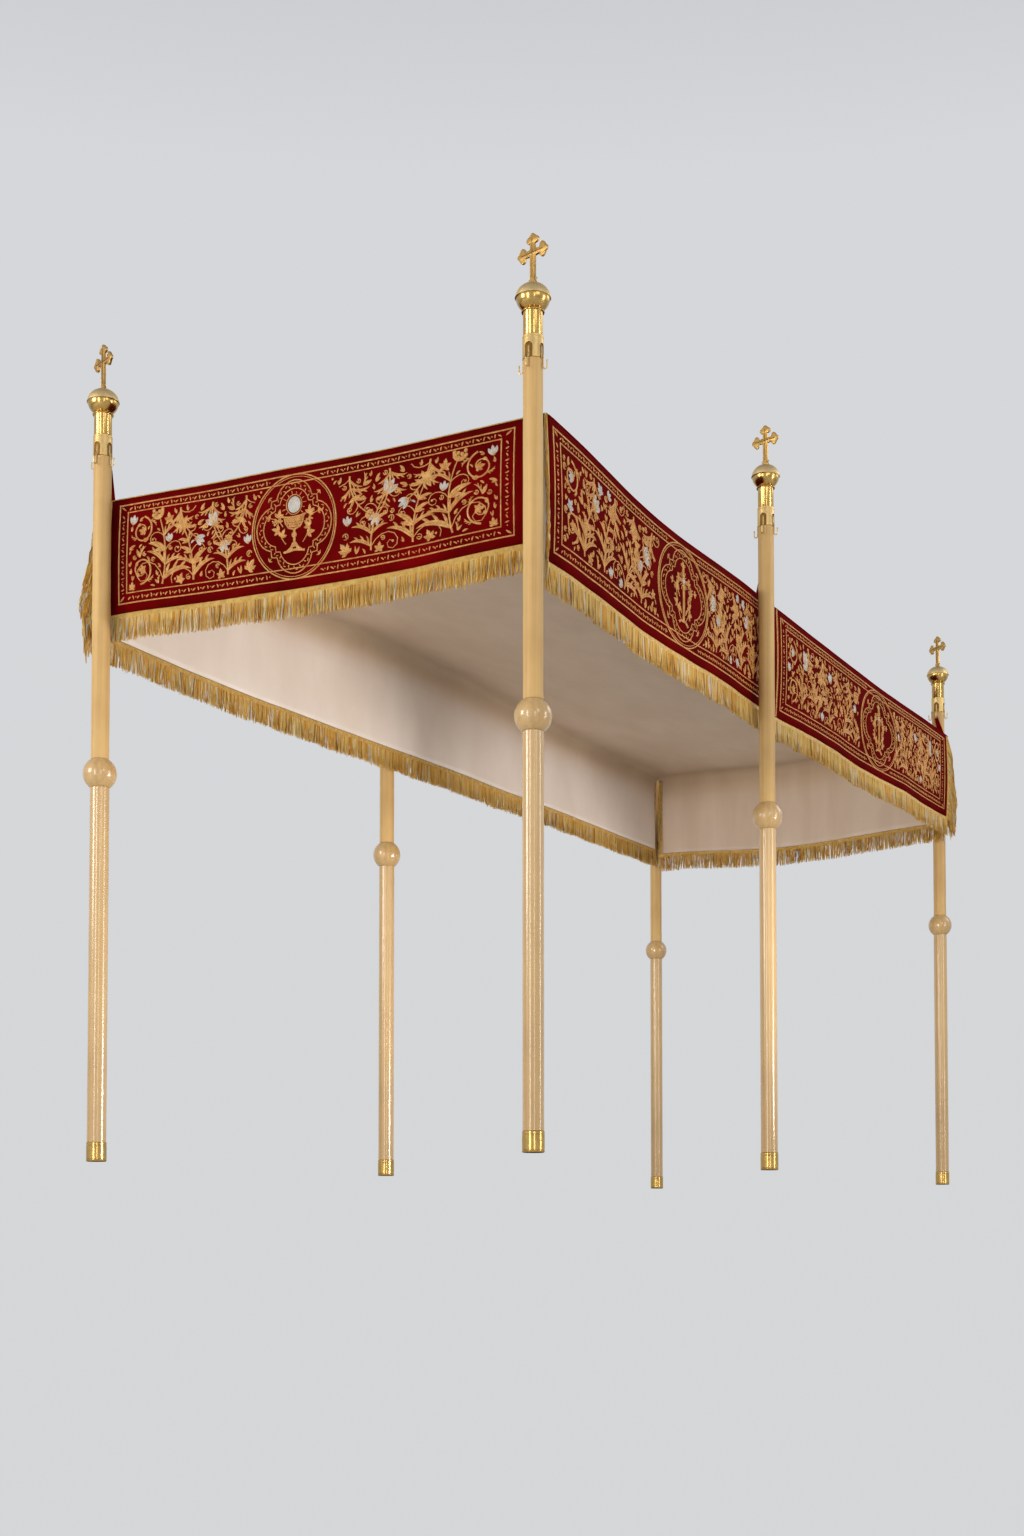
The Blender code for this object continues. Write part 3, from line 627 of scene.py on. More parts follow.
def ball_tips():
    """Small balls that finish the four hook tips."""
    radius = HOOK_WIRE * 1.45
    level = HOOK_BOTTOM + HOOK_TIP_RISE + radius * 0.6
    form, faces = turned_form([(radius * sin(pi * i / 8), radius * cos(pi * i / 8))
                               for i in range(9)], 12)
    points, tip_faces = [], []
    for quarter in range(4):
        turn = quarter * pi / 2
        centre = ((HOOK_SHANK + HOOK_THROAT) * cos(turn), (HOOK_SHANK + HOOK_THROAT) * sin(turn))
        tip_faces += [tuple(corner + len(points) for corner in face) for face in faces]
        points += [(x + centre[0], y + centre[1], z + level) for x, y, z in form]
    return points, tip_faces


def join_meshes(name, meshes, *materials):
    """One mesh of several, given as (mesh, material slot)."""
    points, faces, slots = [], [], []
    for mesh, slot in meshes:
        start = len(points)
        points += [tuple(vertex.co) for vertex in mesh.vertices]
        faces += [tuple(start + corner for corner in polygon.vertices) for polygon in mesh.polygons]
        slots += [slot] * len(mesh.polygons)
    joined = bpy.data.meshes.new(name)
    joined.from_pydata(points, [], faces)
    for material in materials:
        joined.materials.append(material)
    joined.polygons.foreach_set("material_index", slots)
    return joined


def lobe(centre_x, centre_y, start, end, steps, size=CROSS_LOBE):
    turns = [radians(start + (end - start) * i / steps) for i in range(steps + 1)]
    return [(centre_x + size * cos(turn), centre_y + size * sin(turn)) for turn in turns]


def cross_arm(length, shrink=0.0):
    """A three-budded arm along +X, from the lower side of its root round to the upper side."""
    bud = length - 2.1 * CROSS_LOBE
    side = CROSS_STEM + 0.35 * CROSS_LOBE
    size = CROSS_LOBE - shrink
    stem = CROSS_STEM - shrink
    upper = [*lobe(bud, side, 30, 165, 9, size), (bud - CROSS_LOBE, stem * 0.8)]
    end = lobe(length - CROSS_LOBE, 0, -75, 75, 11, size)
    lower = [(x, -y) for x, y in reversed(upper)]
    return lower + end + upper


def cross_outline(shrink=0.0):
    """Budded cross: three short arms, and a stem that stands on the ball of the finial."""
    stem_foot = CROSS_FOOT + FIT_GAP - CROSS_CENTRE + shrink
    stem = CROSS_STEM - shrink
    outline = [(stem * 1.4, stem_foot), (stem * 1.25, stem_foot + 0.004),
               (stem * 0.9, stem_foot + CROSS_STEM), (stem, -CROSS_STEM)]
    lengths = (CROSS_ARM, STAVE_HEIGHT - CROSS_CENTRE, CROSS_ARM)
    for quarter, length in enumerate(lengths):
        spin = Matrix.Rotation(quarter * pi / 2, 2)
        points = [*cross_arm(length, shrink), (stem, stem)]
        outline += [tuple(spin @ Vector(point)) for point in points]
    outline += [(-x, y) for x, y in reversed(outline[:3])]
    return outline


def cross_meshes(material, dark):
    """The plate with eased edges, and the raised line that follows its outline on both faces."""
    ease = 0.0009
    plate = curve_object("plate", [cross_outline(ease)], ease, material, cyclic=True,
                         dimensions="2D", extrude=CROSS_THICKNESS / 2 - ease, resolution=2)
    level = CROSS_THICKNESS / 2
    loops = [[(x, y, face * level) for x, y in cross_outline(0.0030)] for face in (1, -1)]
    stem_foot = CROSS_FOOT - CROSS_CENTRE
    curls = []
    for hand in (1, -1):
        turns = [(-0.4 + 0.36 * i) for i in range(14)]
        curls.append([(hand * (CROSS_STEM * 1.05 + 0.0052 * (1 - i / 18) * (1 - cos(turn))),
                       stem_foot + 0.010 + 0.0052 * (1 - i / 18) * sin(turn), 0)
                      for i, turn in enumerate(turns)])
    lines = curve_object("line", loops, 0.00075, material, cyclic=True)
    rise = STAVE_HEIGHT - CROSS_CENTRE - 1.6 * CROSS_LOBE
    grooves = [[(a, b, face * (level - 0.0014)) for a, b in ends] for face in (1, -1)
               for ends in (((0, stem_foot + 0.016), (0, rise)), ((-CROSS_ARM + 0.014, 0),
                                                                 (CROSS_ARM - 0.014, 0)))]
    # painted shade: the grooves are rods of dark brass along the cross's bars
    chased = curve_object("grooves", grooves, 0.0022, dark, resolution=1)
    scrolls = curve_object("curls", curls, 0.0011, material)
    bpy.context.view_layer.update()
    mesh = join_meshes("cross", [(baked(plate), 0), (baked(lines), 0), (baked(scrolls), 0),
                                 (baked(chased), 1)], material, dark)
    for tool in (plate, lines, scrolls, chased):
        bpy.data.objects.remove(tool, do_unlink=True)
    mesh.shade_smooth()
    mesh.set_sharp_from_angle(angle=radians(40))
    return mesh


def stave_place(stave):
    """The stave's foot point, and how much longer it is than the standard stave."""
    low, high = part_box(f"foot_{stave.name}")
    plan = ((low[0] + high[0]) / 2, (low[1] + high[1]) / 2)
    return plan, (high[2] - low[2]) / FOOT_HEIGHT


def stave_meshes(materials):
    low = KNOB_LEVEL - knob_seat(LOWER_RADIUS)
    high = KNOB_LEVEL + knob_seat(UPPER_RADIUS)
    lacquer, polished, satin = (materials[key] for key in ("lacquer", "polished", "satin_brass"))
    return {
        "foot": (turned_mesh("foot", foot_profile(), polished), "brass"),
        "shaft_lower": (turned_mesh("shaft_lower", shaft_profile(
            LOWER_RADIUS, low - FIT_GAP, FOOT_HEIGHT + FIT_GAP), lacquer), "lacquered_wood"),
        "knob": (turned_mesh("knob", knob_profile(), lacquer), "lacquered_wood"),
        "shaft_upper": (turned_mesh("shaft_upper", shaft_profile(
            UPPER_RADIUS, SOCKET_LEVEL, high + FIT_GAP), materials["worn_lacquer"]), "lacquered_wood"),
        "socket": (socket_mesh(satin, materials["recess_shade_brass"]), "brass"),
        "finial": (finial_mesh(materials["dome_brass"], polished), "brass"),
    }


def make_stave(stave, meshes, cross):
    (x, y), stretch = stave_place(stave)
    for piece, (mesh, slot) in meshes.items():
        obj = bpy.data.objects.new(f"dressed_{piece}_{stave.name}", mesh)
        bpy.context.scene.collection.objects.link(obj)
        obj.location = (x, y, 0)
        obj.scale = (1, 1, stretch)
        rides(obj, slot, f"{piece}_{stave.name}")
    obj = bpy.data.objects.new(f"dressed_cross_{stave.name}", cross)
    bpy.context.scene.collection.objects.link(obj)
    obj.location = (x, y, CROSS_FOOT * stretch + CROSS_CENTRE - CROSS_FOOT)
    obj.rotation_euler = (pi / 2, 0, radians(stave.turn))
    rides(obj, "brass", f"cross_{stave.name}")


# The cover's surfaces, for whole arrays of points

def level_way(side):
    """Level unit vectors along the side and into the canopy."""
    first, last = np.array(SIDES[side][0][1:3]), np.array(SIDES[side][-1][1:3])
    run = (last - first) / np.linalg.norm(last - first)
    return (np.array([run[0], run[1], 0]), np.array([-run[1], run[0], 0]) * INWARD[side])


ALONG = {side: level_way(side)[0] for side in SIDES}
INTO = {side: level_way(side)[1] for side in SIDES}
first_plan = stave_place(STAVES[0])[0]
SHIFT = np.array([first_plan[0] - FIRST_STAVE_PLAN[0], first_plan[1] - FIRST_STAVE_PLAN[1]])


def rows_at(side, share):
    """Plan (n, 2) and heights (n, 2) at shares of the side: straight in plan, eased in height."""
    rows = np.array(SIDES[side])
    share = np.atleast_1d(np.asarray(share, float))
    index = np.clip(np.searchsorted(rows[:, 0], share, side="right") - 1, 0, len(rows) - 2)
    low, high = rows[index], rows[index + 1]
    within = (share - low[:, 0]) / (high[:, 0] - low[:, 0])
    eased = (1 - np.cos(pi * np.clip(within, 0, 1))) / 2
    plan = low[:, 1:3] + (high[:, 1:3] - low[:, 1:3]) * within[:, None] + SHIFT
    return plan, low[:, 3:] + (high[:, 3:] - low[:, 3:]) * eased[:, None]


def top_heights(side, share):
    """Height of the top edge, level in the flat patch at each corner."""
    flat = CORNER_FLAT / SIDE_LENGTH[KIND[side]]
    heights = rows_at(side, share)[1][:, 0]
    heights = np.where(share <= flat, SIDES[side][0][3], heights)
    return np.where(share >= 1 - flat, SIDES[side][-1][3], heights)


def ripple(side, share, drop):
    """Small uneven waves of the hanging velvet, in metres outward."""
    run = share * SIDE_LENGTH[KIND[side]] + 0.7 * len(side)
    free = 0.25 + 0.75 * drop
    return RIPPLE * free * (np.sin(7.3 * run + 1.2 * drop) + 0.6 * np.sin(15.1 * run - 2.1 * drop)
                            + 0.35 * np.sin(29.0 * run + 3.0 * drop))


def side_points(side, share, drop, out=0.0, below=0.0):
    """Points of a hanging side: drop runs from the top edge, 0, to the hem, 1."""
    share, drop, out, below = (part.astype(float).ravel() for part in
                               np.broadcast_arrays(share, drop, out, below))
    plan, heights = rows_at(side, share)
    top = top_heights(side, share) - VELVET_THICKNESS - FIT_GAP
    swell = BILLOW * np.sin(pi * drop)
    swell += HEM_WAVE * drop * np.sin(2 * pi * HEM_WAVES[side] * share)
    swell += ripple(side, share, drop)
    level = top + (heights[:, 1] - top) * drop - below
    return np.column_stack([plan, level]) - INTO[side] * (out + swell)[:, None]


def edge_points(side, share, inset):
    """The roof's edge, drawn in at its ends so that neighbouring edges still meet."""
    place = np.column_stack([rows_at(side, share)[0], top_heights(side, share)])
    place += INTO[side] * inset[:, None]
    ends = (("left", 1 - share), ("right", share)) if KIND[side] == "short" else (
        ("front", 1 - share), ("back", share))
    for neighbour, weight in ends:
        place += INTO[neighbour] * (inset * weight)[:, None]
    return place


def roof_points(u, v, inset, level):
    """The roof between its four edges: u across, v along, with a soft sag in the middle."""
    u, v = (part.astype(float).ravel() for part in np.broadcast_arrays(u, v))
    rim = (u <= 0) | (u >= 1) | (v <= 0) | (v >= 1)
    inset = np.where(rim, inset, 0.0)
    zero, one = np.zeros_like(u), np.ones_like(u)
    across, lengthwise = u[:, None], v[:, None]
    front, back = edge_points("front", u, inset), edge_points("back", u, inset)
    left, right = edge_points("left", v, inset), edge_points("right", v, inset)
    near = edge_points("front", zero, inset) * (1 - across) + edge_points("front", one, inset) * across
    far = edge_points("back", zero, inset) * (1 - across) + edge_points("back", one, inset) * across
    place = front * (1 - lengthwise) + back * lengthwise + left * (1 - across) + right * across
    place -= near * (1 - lengthwise) + far * lengthwise
    swells = []
    for share, kind in ((u, "short"), (v, "long")):
        flat = CORNER_FLAT / SIDE_LENGTH[kind]
        swells.append(np.sin(pi * np.clip((share - flat) / (1 - 2 * flat), 0, 1)))
    place[:, 2] += level - ROOF_SAG * swells[0] * np.minimum(1, ROOF_FLATNESS * swells[1])
    return place


def slit(side):
    return CORNER_SLIT / SIDE_LENGTH[KIND[side]]


def make_roof(material):
    u, v = np.linspace(0, 1, 40), np.linspace(0, 1, 110)
    places = [(a, b) for a in u for b in v]
    across, lengthwise = np.array(places).T
    half = VELVET_THICKNESS / 2
    points = roof_points(across, lengthwise, -half, -half)
    roof = add_mesh("velvet_roof", points, grid_faces(len(u), len(v)), material)
    thicken(roof, VELVET_THICKNESS)
    rides(roof, "velvet", "roof")
    return roof


def make_side(side, material):
    shares = np.linspace(*velvet_ends(side), CLOTH_COLUMNS[KIND[side]])
    drops = np.linspace(0, 1, 15)
    points = side_points(side, np.repeat(shares, len(drops)), np.tile(drops, len(shares)))
    cloth = add_mesh(f"velvet_{side}", points, grid_faces(len(shares), len(drops)), material)
    thicken(cloth, VELVET_THICKNESS)
    return rides(cloth, "velvet", f"side_{side}")


def cove_shift(distance):
    """How far the lining stands in from the other wall, and off its own, near their shared seam."""
    turn = (1 - np.clip(distance / COVE, 0, 1)) / 2
    inside = distance < COVE
    return np.where(inside, COVE * (1 - turn) ** 2 - distance, 0), np.where(inside, COVE * turn ** 2, 0)


def make_lining(material):
    """One sewn sheet: the ceiling under the roof, and a flap behind each side."""
    level = -VELVET_THICKNESS - FIT_GAP - LINING_THICKNESS / 2
    near = {kind: CORNER_SLIT / length for kind, length in SIDE_LENGTH.items()}
    rim = {kind: [COVE * k / 6 / length for k in range(1, 7)] for kind, length in SIDE_LENGTH.items()}
    lines = {}
    for kind, count in (("short", 30), ("long", 96)):
        inner = np.linspace(rim[kind][-1], 1 - rim[kind][-1], count)
        lines[kind] = np.unique(np.concatenate([[0, 1, near[kind], 1 - near[kind]], rim[kind],
                                                1 - np.array(rim[kind]), inner]).round(7))
    across, lengthwise = lines["short"], lines["long"]
    u, v = np.repeat(across, len(lengthwise)), np.tile(lengthwise, len(across))
    points = roof_points(u, v, LINING_INSET, level)
    edges = (("left", u, "short"), ("right", 1 - u, "short"), ("front", v, "long"),
             ("back", 1 - v, "long"))
    for side, share, kind in edges:
        reach, fall = cove_shift(share * SIDE_LENGTH[kind])
        points += INTO[side] * reach[:, None]
        points[:, 2] -= fall
    faces = grid_faces(len(across), len(lengthwise))
    rows, last = len(lengthwise), (len(across) - 1) * len(lengthwise)
    seams = {"front": [i * rows for i in range(len(across))],
             "back": [i * rows + rows - 1 for i in range(len(across))],
             "left": list(range(rows)), "right": [last + i for i in range(rows)]}
    drops = np.array([0.04, 0.08, 0.12, 0.16, 0.22, 0.3, 0.4, 0.5, 0.6, 0.7, 0.8, 0.88, 0.95, 1.0])
    parts, lined = [points], []
    count = len(points)
    for side, seam in seams.items():
        shares = lines[KIND[side]]
        used = [i for i in range(len(shares))
                if near[KIND[side]] - 1e-6 <= shares[i] <= 1 - near[KIND[side]] + 1e-6]
        share = np.repeat(shares[used], len(drops))
        drop = np.tile(drops, len(used))
        plan, heights = rows_at(side, share)
        fall = drop * (top_heights(side, share) - heights[:, 1])
        down, reach = cove_shift(fall)
        slack = 0.004 * np.sin(pi * np.clip(drop, 0, 1)) * (1 + np.sin(11 * share + 3 * drop))
        flap = side_points(side, share, drop, -LINING_INSET - reach - slack, down)
        parts.append(flap)
        lined.append((side, share, drop, fall))
        previous = None
        for order, index in enumerate(used):
            column = [seam[index]] + [count + order * len(drops) + i for i in range(len(drops))]
            if previous:
                faces += [(previous[i], column[i], column[i + 1], previous[i + 1])
                          for i in range(len(column) - 1)]
            previous = column
        count += len(flap)
    lining = add_mesh("satin_lining", np.concatenate(parts), faces, material)
    # painted shade per point, which the satin turns into darker, browner colour
    painted_shade = lining_painted_shade(points, u, v, len(lining.data.vertices), lined)
    lining.data.attributes.new("painted_shade", "FLOAT", "POINT").data.foreach_set("value", painted_shade)
    turn_faces_alike(lining.data)
    thicken(lining, LINING_THICKNESS)
    rides(lining, "satin", "lining")
    return lining


def lining_painted_shade(points, u, v, total, lined):
    """Painted shade, 0 to 1: most along the soft turn, less on the ceiling, least on the flaps."""
    away = np.minimum.reduce([u * SIDE_LENGTH["short"], (1 - u) * SIDE_LENGTH["short"],
                              v * SIDE_LENGTH["long"], (1 - v) * SIDE_LENGTH["long"]])
    parts = [0.56 + 0.30 * np.exp(-(away / 0.10) ** 2) + 0.05 * np.sin(3.1 * points[:, 0] + points[:, 1])]
    for side, share, drop, fall in lined:
        # painted light and shade between the flaps: none at the foot of the left flap, some on the others
        base = {"left": 0.0, "right": 0.35, "front": 0.30, "back": 0.34}[side]
        parts.append(base + (0.86 - base) * np.exp(-(fall / 0.085) ** 2))
    return np.clip(np.concatenate(parts), 0, 1).astype(np.float32)


def turn_faces_alike(mesh):
    import bmesh
    form = bmesh.new()
    form.from_mesh(mesh)
    bmesh.ops.recalc_face_normals(form, faces=form.faces)
    form.to_mesh(mesh)
    form.free()


# The cloth's trimmings: straps, piping, braid and fringe

def roof_share(x, y):
    """Rough place of a plan point on the roof, as shares across and along."""
    front, back = np.array(SIDES["front"]), np.array(SIDES["back"])
    v = float(np.clip((y - SHIFT[1] - front[0][2]) / (back[-1][2] - front[0][2]), 0, 1))
    left, right = rows_at("left", v)[0][0], rows_at("right", v)[0][0]
    return float(np.clip((x - left[0]) / (right[0] - left[0]), 0, 1)), v


def make_strap(stave, velvet, gold, brass):
    """A tapering velvet tab with its sewn edge and its eyelet, from the hook down to the roof."""
    (x, y), stretch = stave_place(stave)
    out = Vector((cos(radians(stave.hook)), sin(radians(stave.hook)), 0))
    sideways = Vector((1, 0, 0)) if abs(out.y) > 0.5 else Vector((0, 1, 0))
    axis = Vector((x, y, 0))
    reach = HOOK_SHANK + HOOK_THROAT / 2
    wire_top = HOOK_BOTTOM * stretch + HOOK_WIRE
    head = axis + out * reach + Vector((0, 0, wire_top + EYELET_PLAY - EYELET_RADIUS))
    foot = axis + out * stave.reach + sideways * stave.lean
    foot_line = [foot + sideways * STRAP_HALF_WIDTH * sign for sign in (-1, 0, 1)]
    foot.z = max(roof_points(*roof_share(spot.x, spot.y), 0, 0)[0][2] for spot in foot_line) \
        + 2 * FIT_GAP
    up = (head - foot).normalized()
    flat = (sideways - up * sideways.dot(up)).normalized()
    turned = Matrix((flat, up, flat.cross(up))).transposed().to_4x4()
    corners = [foot + sideways * STRAP_HALF_WIDTH * sign - head for sign in (1, -1)]
    crown = [radians(12 * i) for i in range(16)]
    outline = [(STRAP_HEAD * cos(turn), STRAP_HEAD * sin(turn)) for turn in crown]
    outline += [(corner.dot(flat), corner.dot(up)) for corner in reversed(corners)]
    ring = [radians(15 * i) for i in range(24)]
    eyelet = [(EYELET_RADIUS * cos(turn), EYELET_RADIUS * sin(turn)) for turn in ring]
    ease = 0.0005
    strap = curve_object(f"strap_cloth_{stave.name}", [outline, eyelet], ease, velvet, cyclic=True,
                         dimensions="2D", extrude=STRAP_THICKNESS / 2 - ease, resolution=1)
    strap.matrix_world = Matrix.Translation(head) @ turned
    rides(strap, "velvet", f"strap_{stave.name}")
    level = STRAP_THICKNESS / 2
    rim = [(px * 1.02, py * 1.02) for px, py in eyelet]
    grommet = curve_object(f"strap_eyelet_{stave.name}",
                           [[(px, py, face * level) for px, py in rim] for face in (1, -1)],
                           0.0011, brass, cyclic=True)
    grommet.matrix_world = strap.matrix_world
    rides(grommet, "brass")
    edge = [(px * 0.86, py * 0.86 if py > 0 else py + 0.001) for px, py in outline]
    sewing = curve_object(f"strap_sewing_{stave.name}", [[(px, py, level + 0.0002) for px, py in edge]],
                          0.0006, gold, resolution=1)
    sewing.matrix_world = strap.matrix_world
    rides(sewing, "gold_thread")
    return strap


def ring_sweep(centres, offsets, cyclic_ring=True):
    """Points and faces of rings swept along a line: offsets is (stations, ring, 3)."""
    stations, ring = offsets.shape[:2]
    points = (centres[:, None, :] + offsets).reshape(-1, 3)
    faces = []
    for station in range(stations - 1):
        for i in range(ring if cyclic_ring else ring - 1):
            j = (i + 1) % ring
            a = station * ring
            faces.append((a + i, a + j, a + ring + j, a + ring + i))
    return points, faces


def make_piping(side, material):
    """A thin cord along the top edge of a side: gold on the short sides, red on the long ones."""
    shares = np.linspace(slit(side) * 0.4, 1 - slit(side) * 0.4, CLOTH_COLUMNS[KIND[side]])
    centre = side_points(side, shares, 0.0, VELVET_THICKNESS / 2 + PIPING_RADIUS * 0.5, -0.0010)
    turns = np.linspace(0, 2 * pi, 7)[:-1]
    ring = np.cos(turns)[:, None] * INTO[side] + np.sin(turns)[:, None] * np.array([0, 0, 1])
    offsets = np.tile(ring * PIPING_RADIUS, (len(shares), 1, 1))
    points, faces = ring_sweep(centre, offsets)
    run = shares * SIDE_LENGTH[KIND[side]]
    thread = np.column_stack([np.tile(turns * PIPING_RADIUS, len(shares)), np.repeat(run, 6)])
    cord = add_mesh(f"piping_{side}", points, faces, material, thread=thread)
    return rides(cord, "gold_thread")


def velvet_ends(side):
    """Shares at which the velvet of a hanging side starts and stops."""
    length = SIDE_LENGTH[KIND[side]]
    return SLITS[side][0] / length, 1 - SLITS[side][1] / length


def braid_edges(side):
    """Inner and outer edge of the braid: down one end, along the hem and up the other end."""
    length = SIDE_LENGTH[KIND[side]]
    near, far = velvet_ends(side)
    near, far = near - FIT_GAP / length, far + FIT_GAP / length
    braid = BRAID_UP / length
    down = np.linspace(0, 1, 26)[:-1]
    hem = np.linspace(near, far, CLOTH_COLUMNS[KIND[side]])
    wide = hem.copy()
    wide[0], wide[-1] = near - braid, far + braid
    below = FIT_GAP + BRAID_DROP
    inner = [side_points(side, near, down), side_points(side, hem, 1, 0, FIT_GAP),
             side_points(side, far, down[::-1])]
    outer = [side_points(side, near - braid, down), side_points(side, wide, 1, 0, below),
             side_points(side, far + braid, down[::-1])]
    return np.concatenate(inner), np.concatenate(outer)


def make_braid(side, material):
    """A woven gold heading with two raised cords, round both ends and the hem of a side."""
    inner, outer = braid_edges(side)
    section = ((0.0, 0.15), (0.05, 0.75), (0.13, 1.0), (0.22, 0.62), (0.50, 0.50), (0.78, 0.62),
               (0.87, 1.0), (0.95, 0.75), (1.0, 0.15))
    front = [(across, rise) for across, rise in section]
    back = [(across, -0.7 * rise) for across, rise in reversed(section)]
    ring = front + back
    way = outer - inner
    offsets = np.stack([way * across - INTO[side] * rise * BRAID_THICKNESS / 2
                        for across, rise in ring], axis=1)
    points, faces = ring_sweep(inner, offsets)
    step = np.linalg.norm(np.diff((inner + outer) / 2, axis=0), axis=1)
    run = np.concatenate([[0], np.cumsum(step)])
    wide = np.linalg.norm(way, axis=1)
    thread = np.column_stack([(wide[:, None] * np.array([a for a, rise in ring])).ravel(),
                              np.repeat(run, len(ring))])
    braid = add_mesh(f"braid_{side}", points, faces, material, thread=thread)
    return rides(braid, "gold_thread", f"fringe_{side}")


def strand_mesh(name, centres, radius, tones, material):
    """Three-sided strands: centres is (strands, knots, 3), tones one value a strand."""
    strands, knots = centres.shape[:2]
    turns = np.arange(3) * 2 * pi / 3
    twist = np.linspace(0, 1.4, knots)
    taper = np.concatenate([np.linspace(0.9, 1.0, knots - 1), [0.55]]) * radius
    angle = turns[None, :] + twist[:, None]
    ring = np.stack([np.cos(angle), np.sin(angle), np.zeros_like(angle)], axis=2) * taper[:, None, None]
    points = (centres[:, :, None, :] + ring[None]).reshape(-1, 3)
    base = np.arange(strands)[:, None, None] * knots * 3
    knot = np.arange(knots - 1)[None, :, None] * 3
    side = np.arange(3)[None, None, :]
    after = (side + 1) % 3
    quads = np.stack([base + knot + side, base + knot + after,
                      base + knot + 3 + after, base + knot + 3 + side], axis=3).reshape(-1, 4)
    tips = (np.arange(strands)[:, None] * knots + knots - 1) * 3 + np.arange(3)[None]
    faces = quads.tolist() + tips.tolist()
    step = np.linalg.norm(np.diff(centres, axis=1), axis=2)
    run = np.concatenate([np.zeros((strands, 1)), np.cumsum(step, axis=1)], axis=1)
    run += np.arange(strands)[:, None] * 0.0137
    around = np.tile(turns * radius, strands * knots)
    thread = np.column_stack([around, np.repeat(run.ravel(), 3)])
    obj = add_mesh(name, points, faces, material, thread=thread)
    attribute = obj.data.attributes.new("tone", "FLOAT", "POINT")
    attribute.data.foreach_set("value", np.repeat(tones, knots * 3).astype(np.float32))
    return obj


def strand_tones(rng, count):
    """Golden tones from 0 to 0.86, and now and then the 0.9 to 1 of silver-white."""
    tones = np.clip(rng.normal(0.5, 0.2, count), 0.02, 0.85)
    silver = rng.random(count) < SILVER_SHARE
    return np.where(silver, 0.9 + 0.1 * rng.random(count), tones)


def make_fringe(side, material):
    """Loose twisted strands: rows along the hem, and layers that fan out from both ends."""
    rng = np.random.default_rng(100 + len(side) * 7 + ord(side[0]))
    length = SIDE_LENGTH[KIND[side]]
    near, far = velvet_ends(side)
    hem = (far - near) * length + 2 * BRAID_UP
    fall = np.linspace(0, 1, STRAND_KNOTS)
    lines, tones = [], []
    for row in range(STRAND_ROWS):
        count = int(hem / STRAND_PITCH)
        share = near - BRAID_UP / length + (np.arange(count) + 0.5 * row + 0.25) * hem / count / length
        share += rng.normal(0, 0.0004, count) / length
        out = (0.0009 if row == 0 else -0.0009) + rng.normal(0, 0.0003, count)
        root = side_points(side, share, 1.0, out, FIT_GAP + BRAID_DROP * 0.82)
        long = STRAND_LENGTH * (1 + rng.normal(0, 0.035, count)
                                + 0.03 * np.sin(share * length * 21 + row))
        clump = 0.0045 * np.sin(share * length * 37 + row) + 0.003 * np.sin(share * length * 83)
        sway = clump + rng.normal(0, 0.0034, count)
        lean = rng.normal(0.001, 0.0026, count) + 0.002 * np.sin(share * length * 29)
        wave = rng.normal(0, 0.0017, count)
        phase = rng.random(count) * 2 * pi
        reach = sway[:, None] * fall ** 1.5 + wave[:, None] * np.sin(2 * pi * fall + phase[:, None]) * fall
        bow = lean[:, None] * fall ** 1.3
        line = root[:, None, :] + reach[:, :, None] * ALONG[side] - bow[:, :, None] * INTO[side]
        line[:, :, 2] -= long[:, None] * fall
        lines.append(line)
        tones.append(strand_tones(rng, count))
    for end in (0, 1):
        first = near - BRAID_UP * 0.75 / length if end == 0 else far + BRAID_UP * 0.75 / length
        outward = ALONG[side] * (1 if end else -1)
        splay = radians(END_SPLAY)
        level = outward * cos(splay) - INTO[side] * sin(splay)
        height = rows_at(side, first)[1][0]
        count = int((height[0] - height[1]) / STRAND_PITCH * END_LAYERS)
        drop = (np.arange(count) + rng.random(count)) / count
        root = side_points(side, first, drop, rng.normal(0.0, 0.0012, count))
        long = END_LENGTH[side][end] * (1.12 - 0.45 * drop + rng.normal(0, 0.06, count))
        level_down = drop[:, None] + long[:, None] * fall / (height[0] - height[1])
        reach = END_REACH[side][end] * np.interp(level_down, *zip(*END_SHAPE))
        share_out = 0.30 + 0.70 * rng.random(count) ** 0.6
        spread_out = share_out[:, None] * reach * (1 - (1 - fall) ** 2.4)
        phase = 9.0 * drop + rng.normal(0, 0.5, count)
        wave = 0.0024 * np.sin(2 * pi * 1.7 * fall + phase[:, None]) * fall
        wander = rng.normal(0, 0.0030, count)[:, None] * np.sin(2 * pi * fall) * fall
        line = root[:, None, :] + (spread_out + wave)[:, :, None] * level + wander[:, :, None] * INTO[side]
        line[:, :, 2] -= long[:, None] * (0.82 * fall + 0.18 * fall ** 2)
        lines.append(line)
        tones.append(strand_tones(rng, count))
    fringe = strand_mesh(f"fringe_strands_{side}", np.concatenate(lines), STRAND_RADIUS,
                         np.concatenate(tones), material)
    return rides(fringe, "gold_thread", f"fringe_{side}")


# Embroidery: every motif is a raised strip of stitches in its panel's flat coordinates, metres along
# the side and metres down it, and is laid on the velvet in the end

STEM_SECTION = ((-1.0, -0.15), (-0.62, 0.75), (0.0, 1.0), (0.62, 0.75), (1.0, -0.15))
LEAF_SECTION = ((-1.0, -0.15), (-0.52, 1.0), (0.0, 0.14), (0.52, 1.0), (1.0, -0.15))
LINE_SECTION = ((-1.0, -0.15), (0.0, 1.0), (1.0, -0.15))


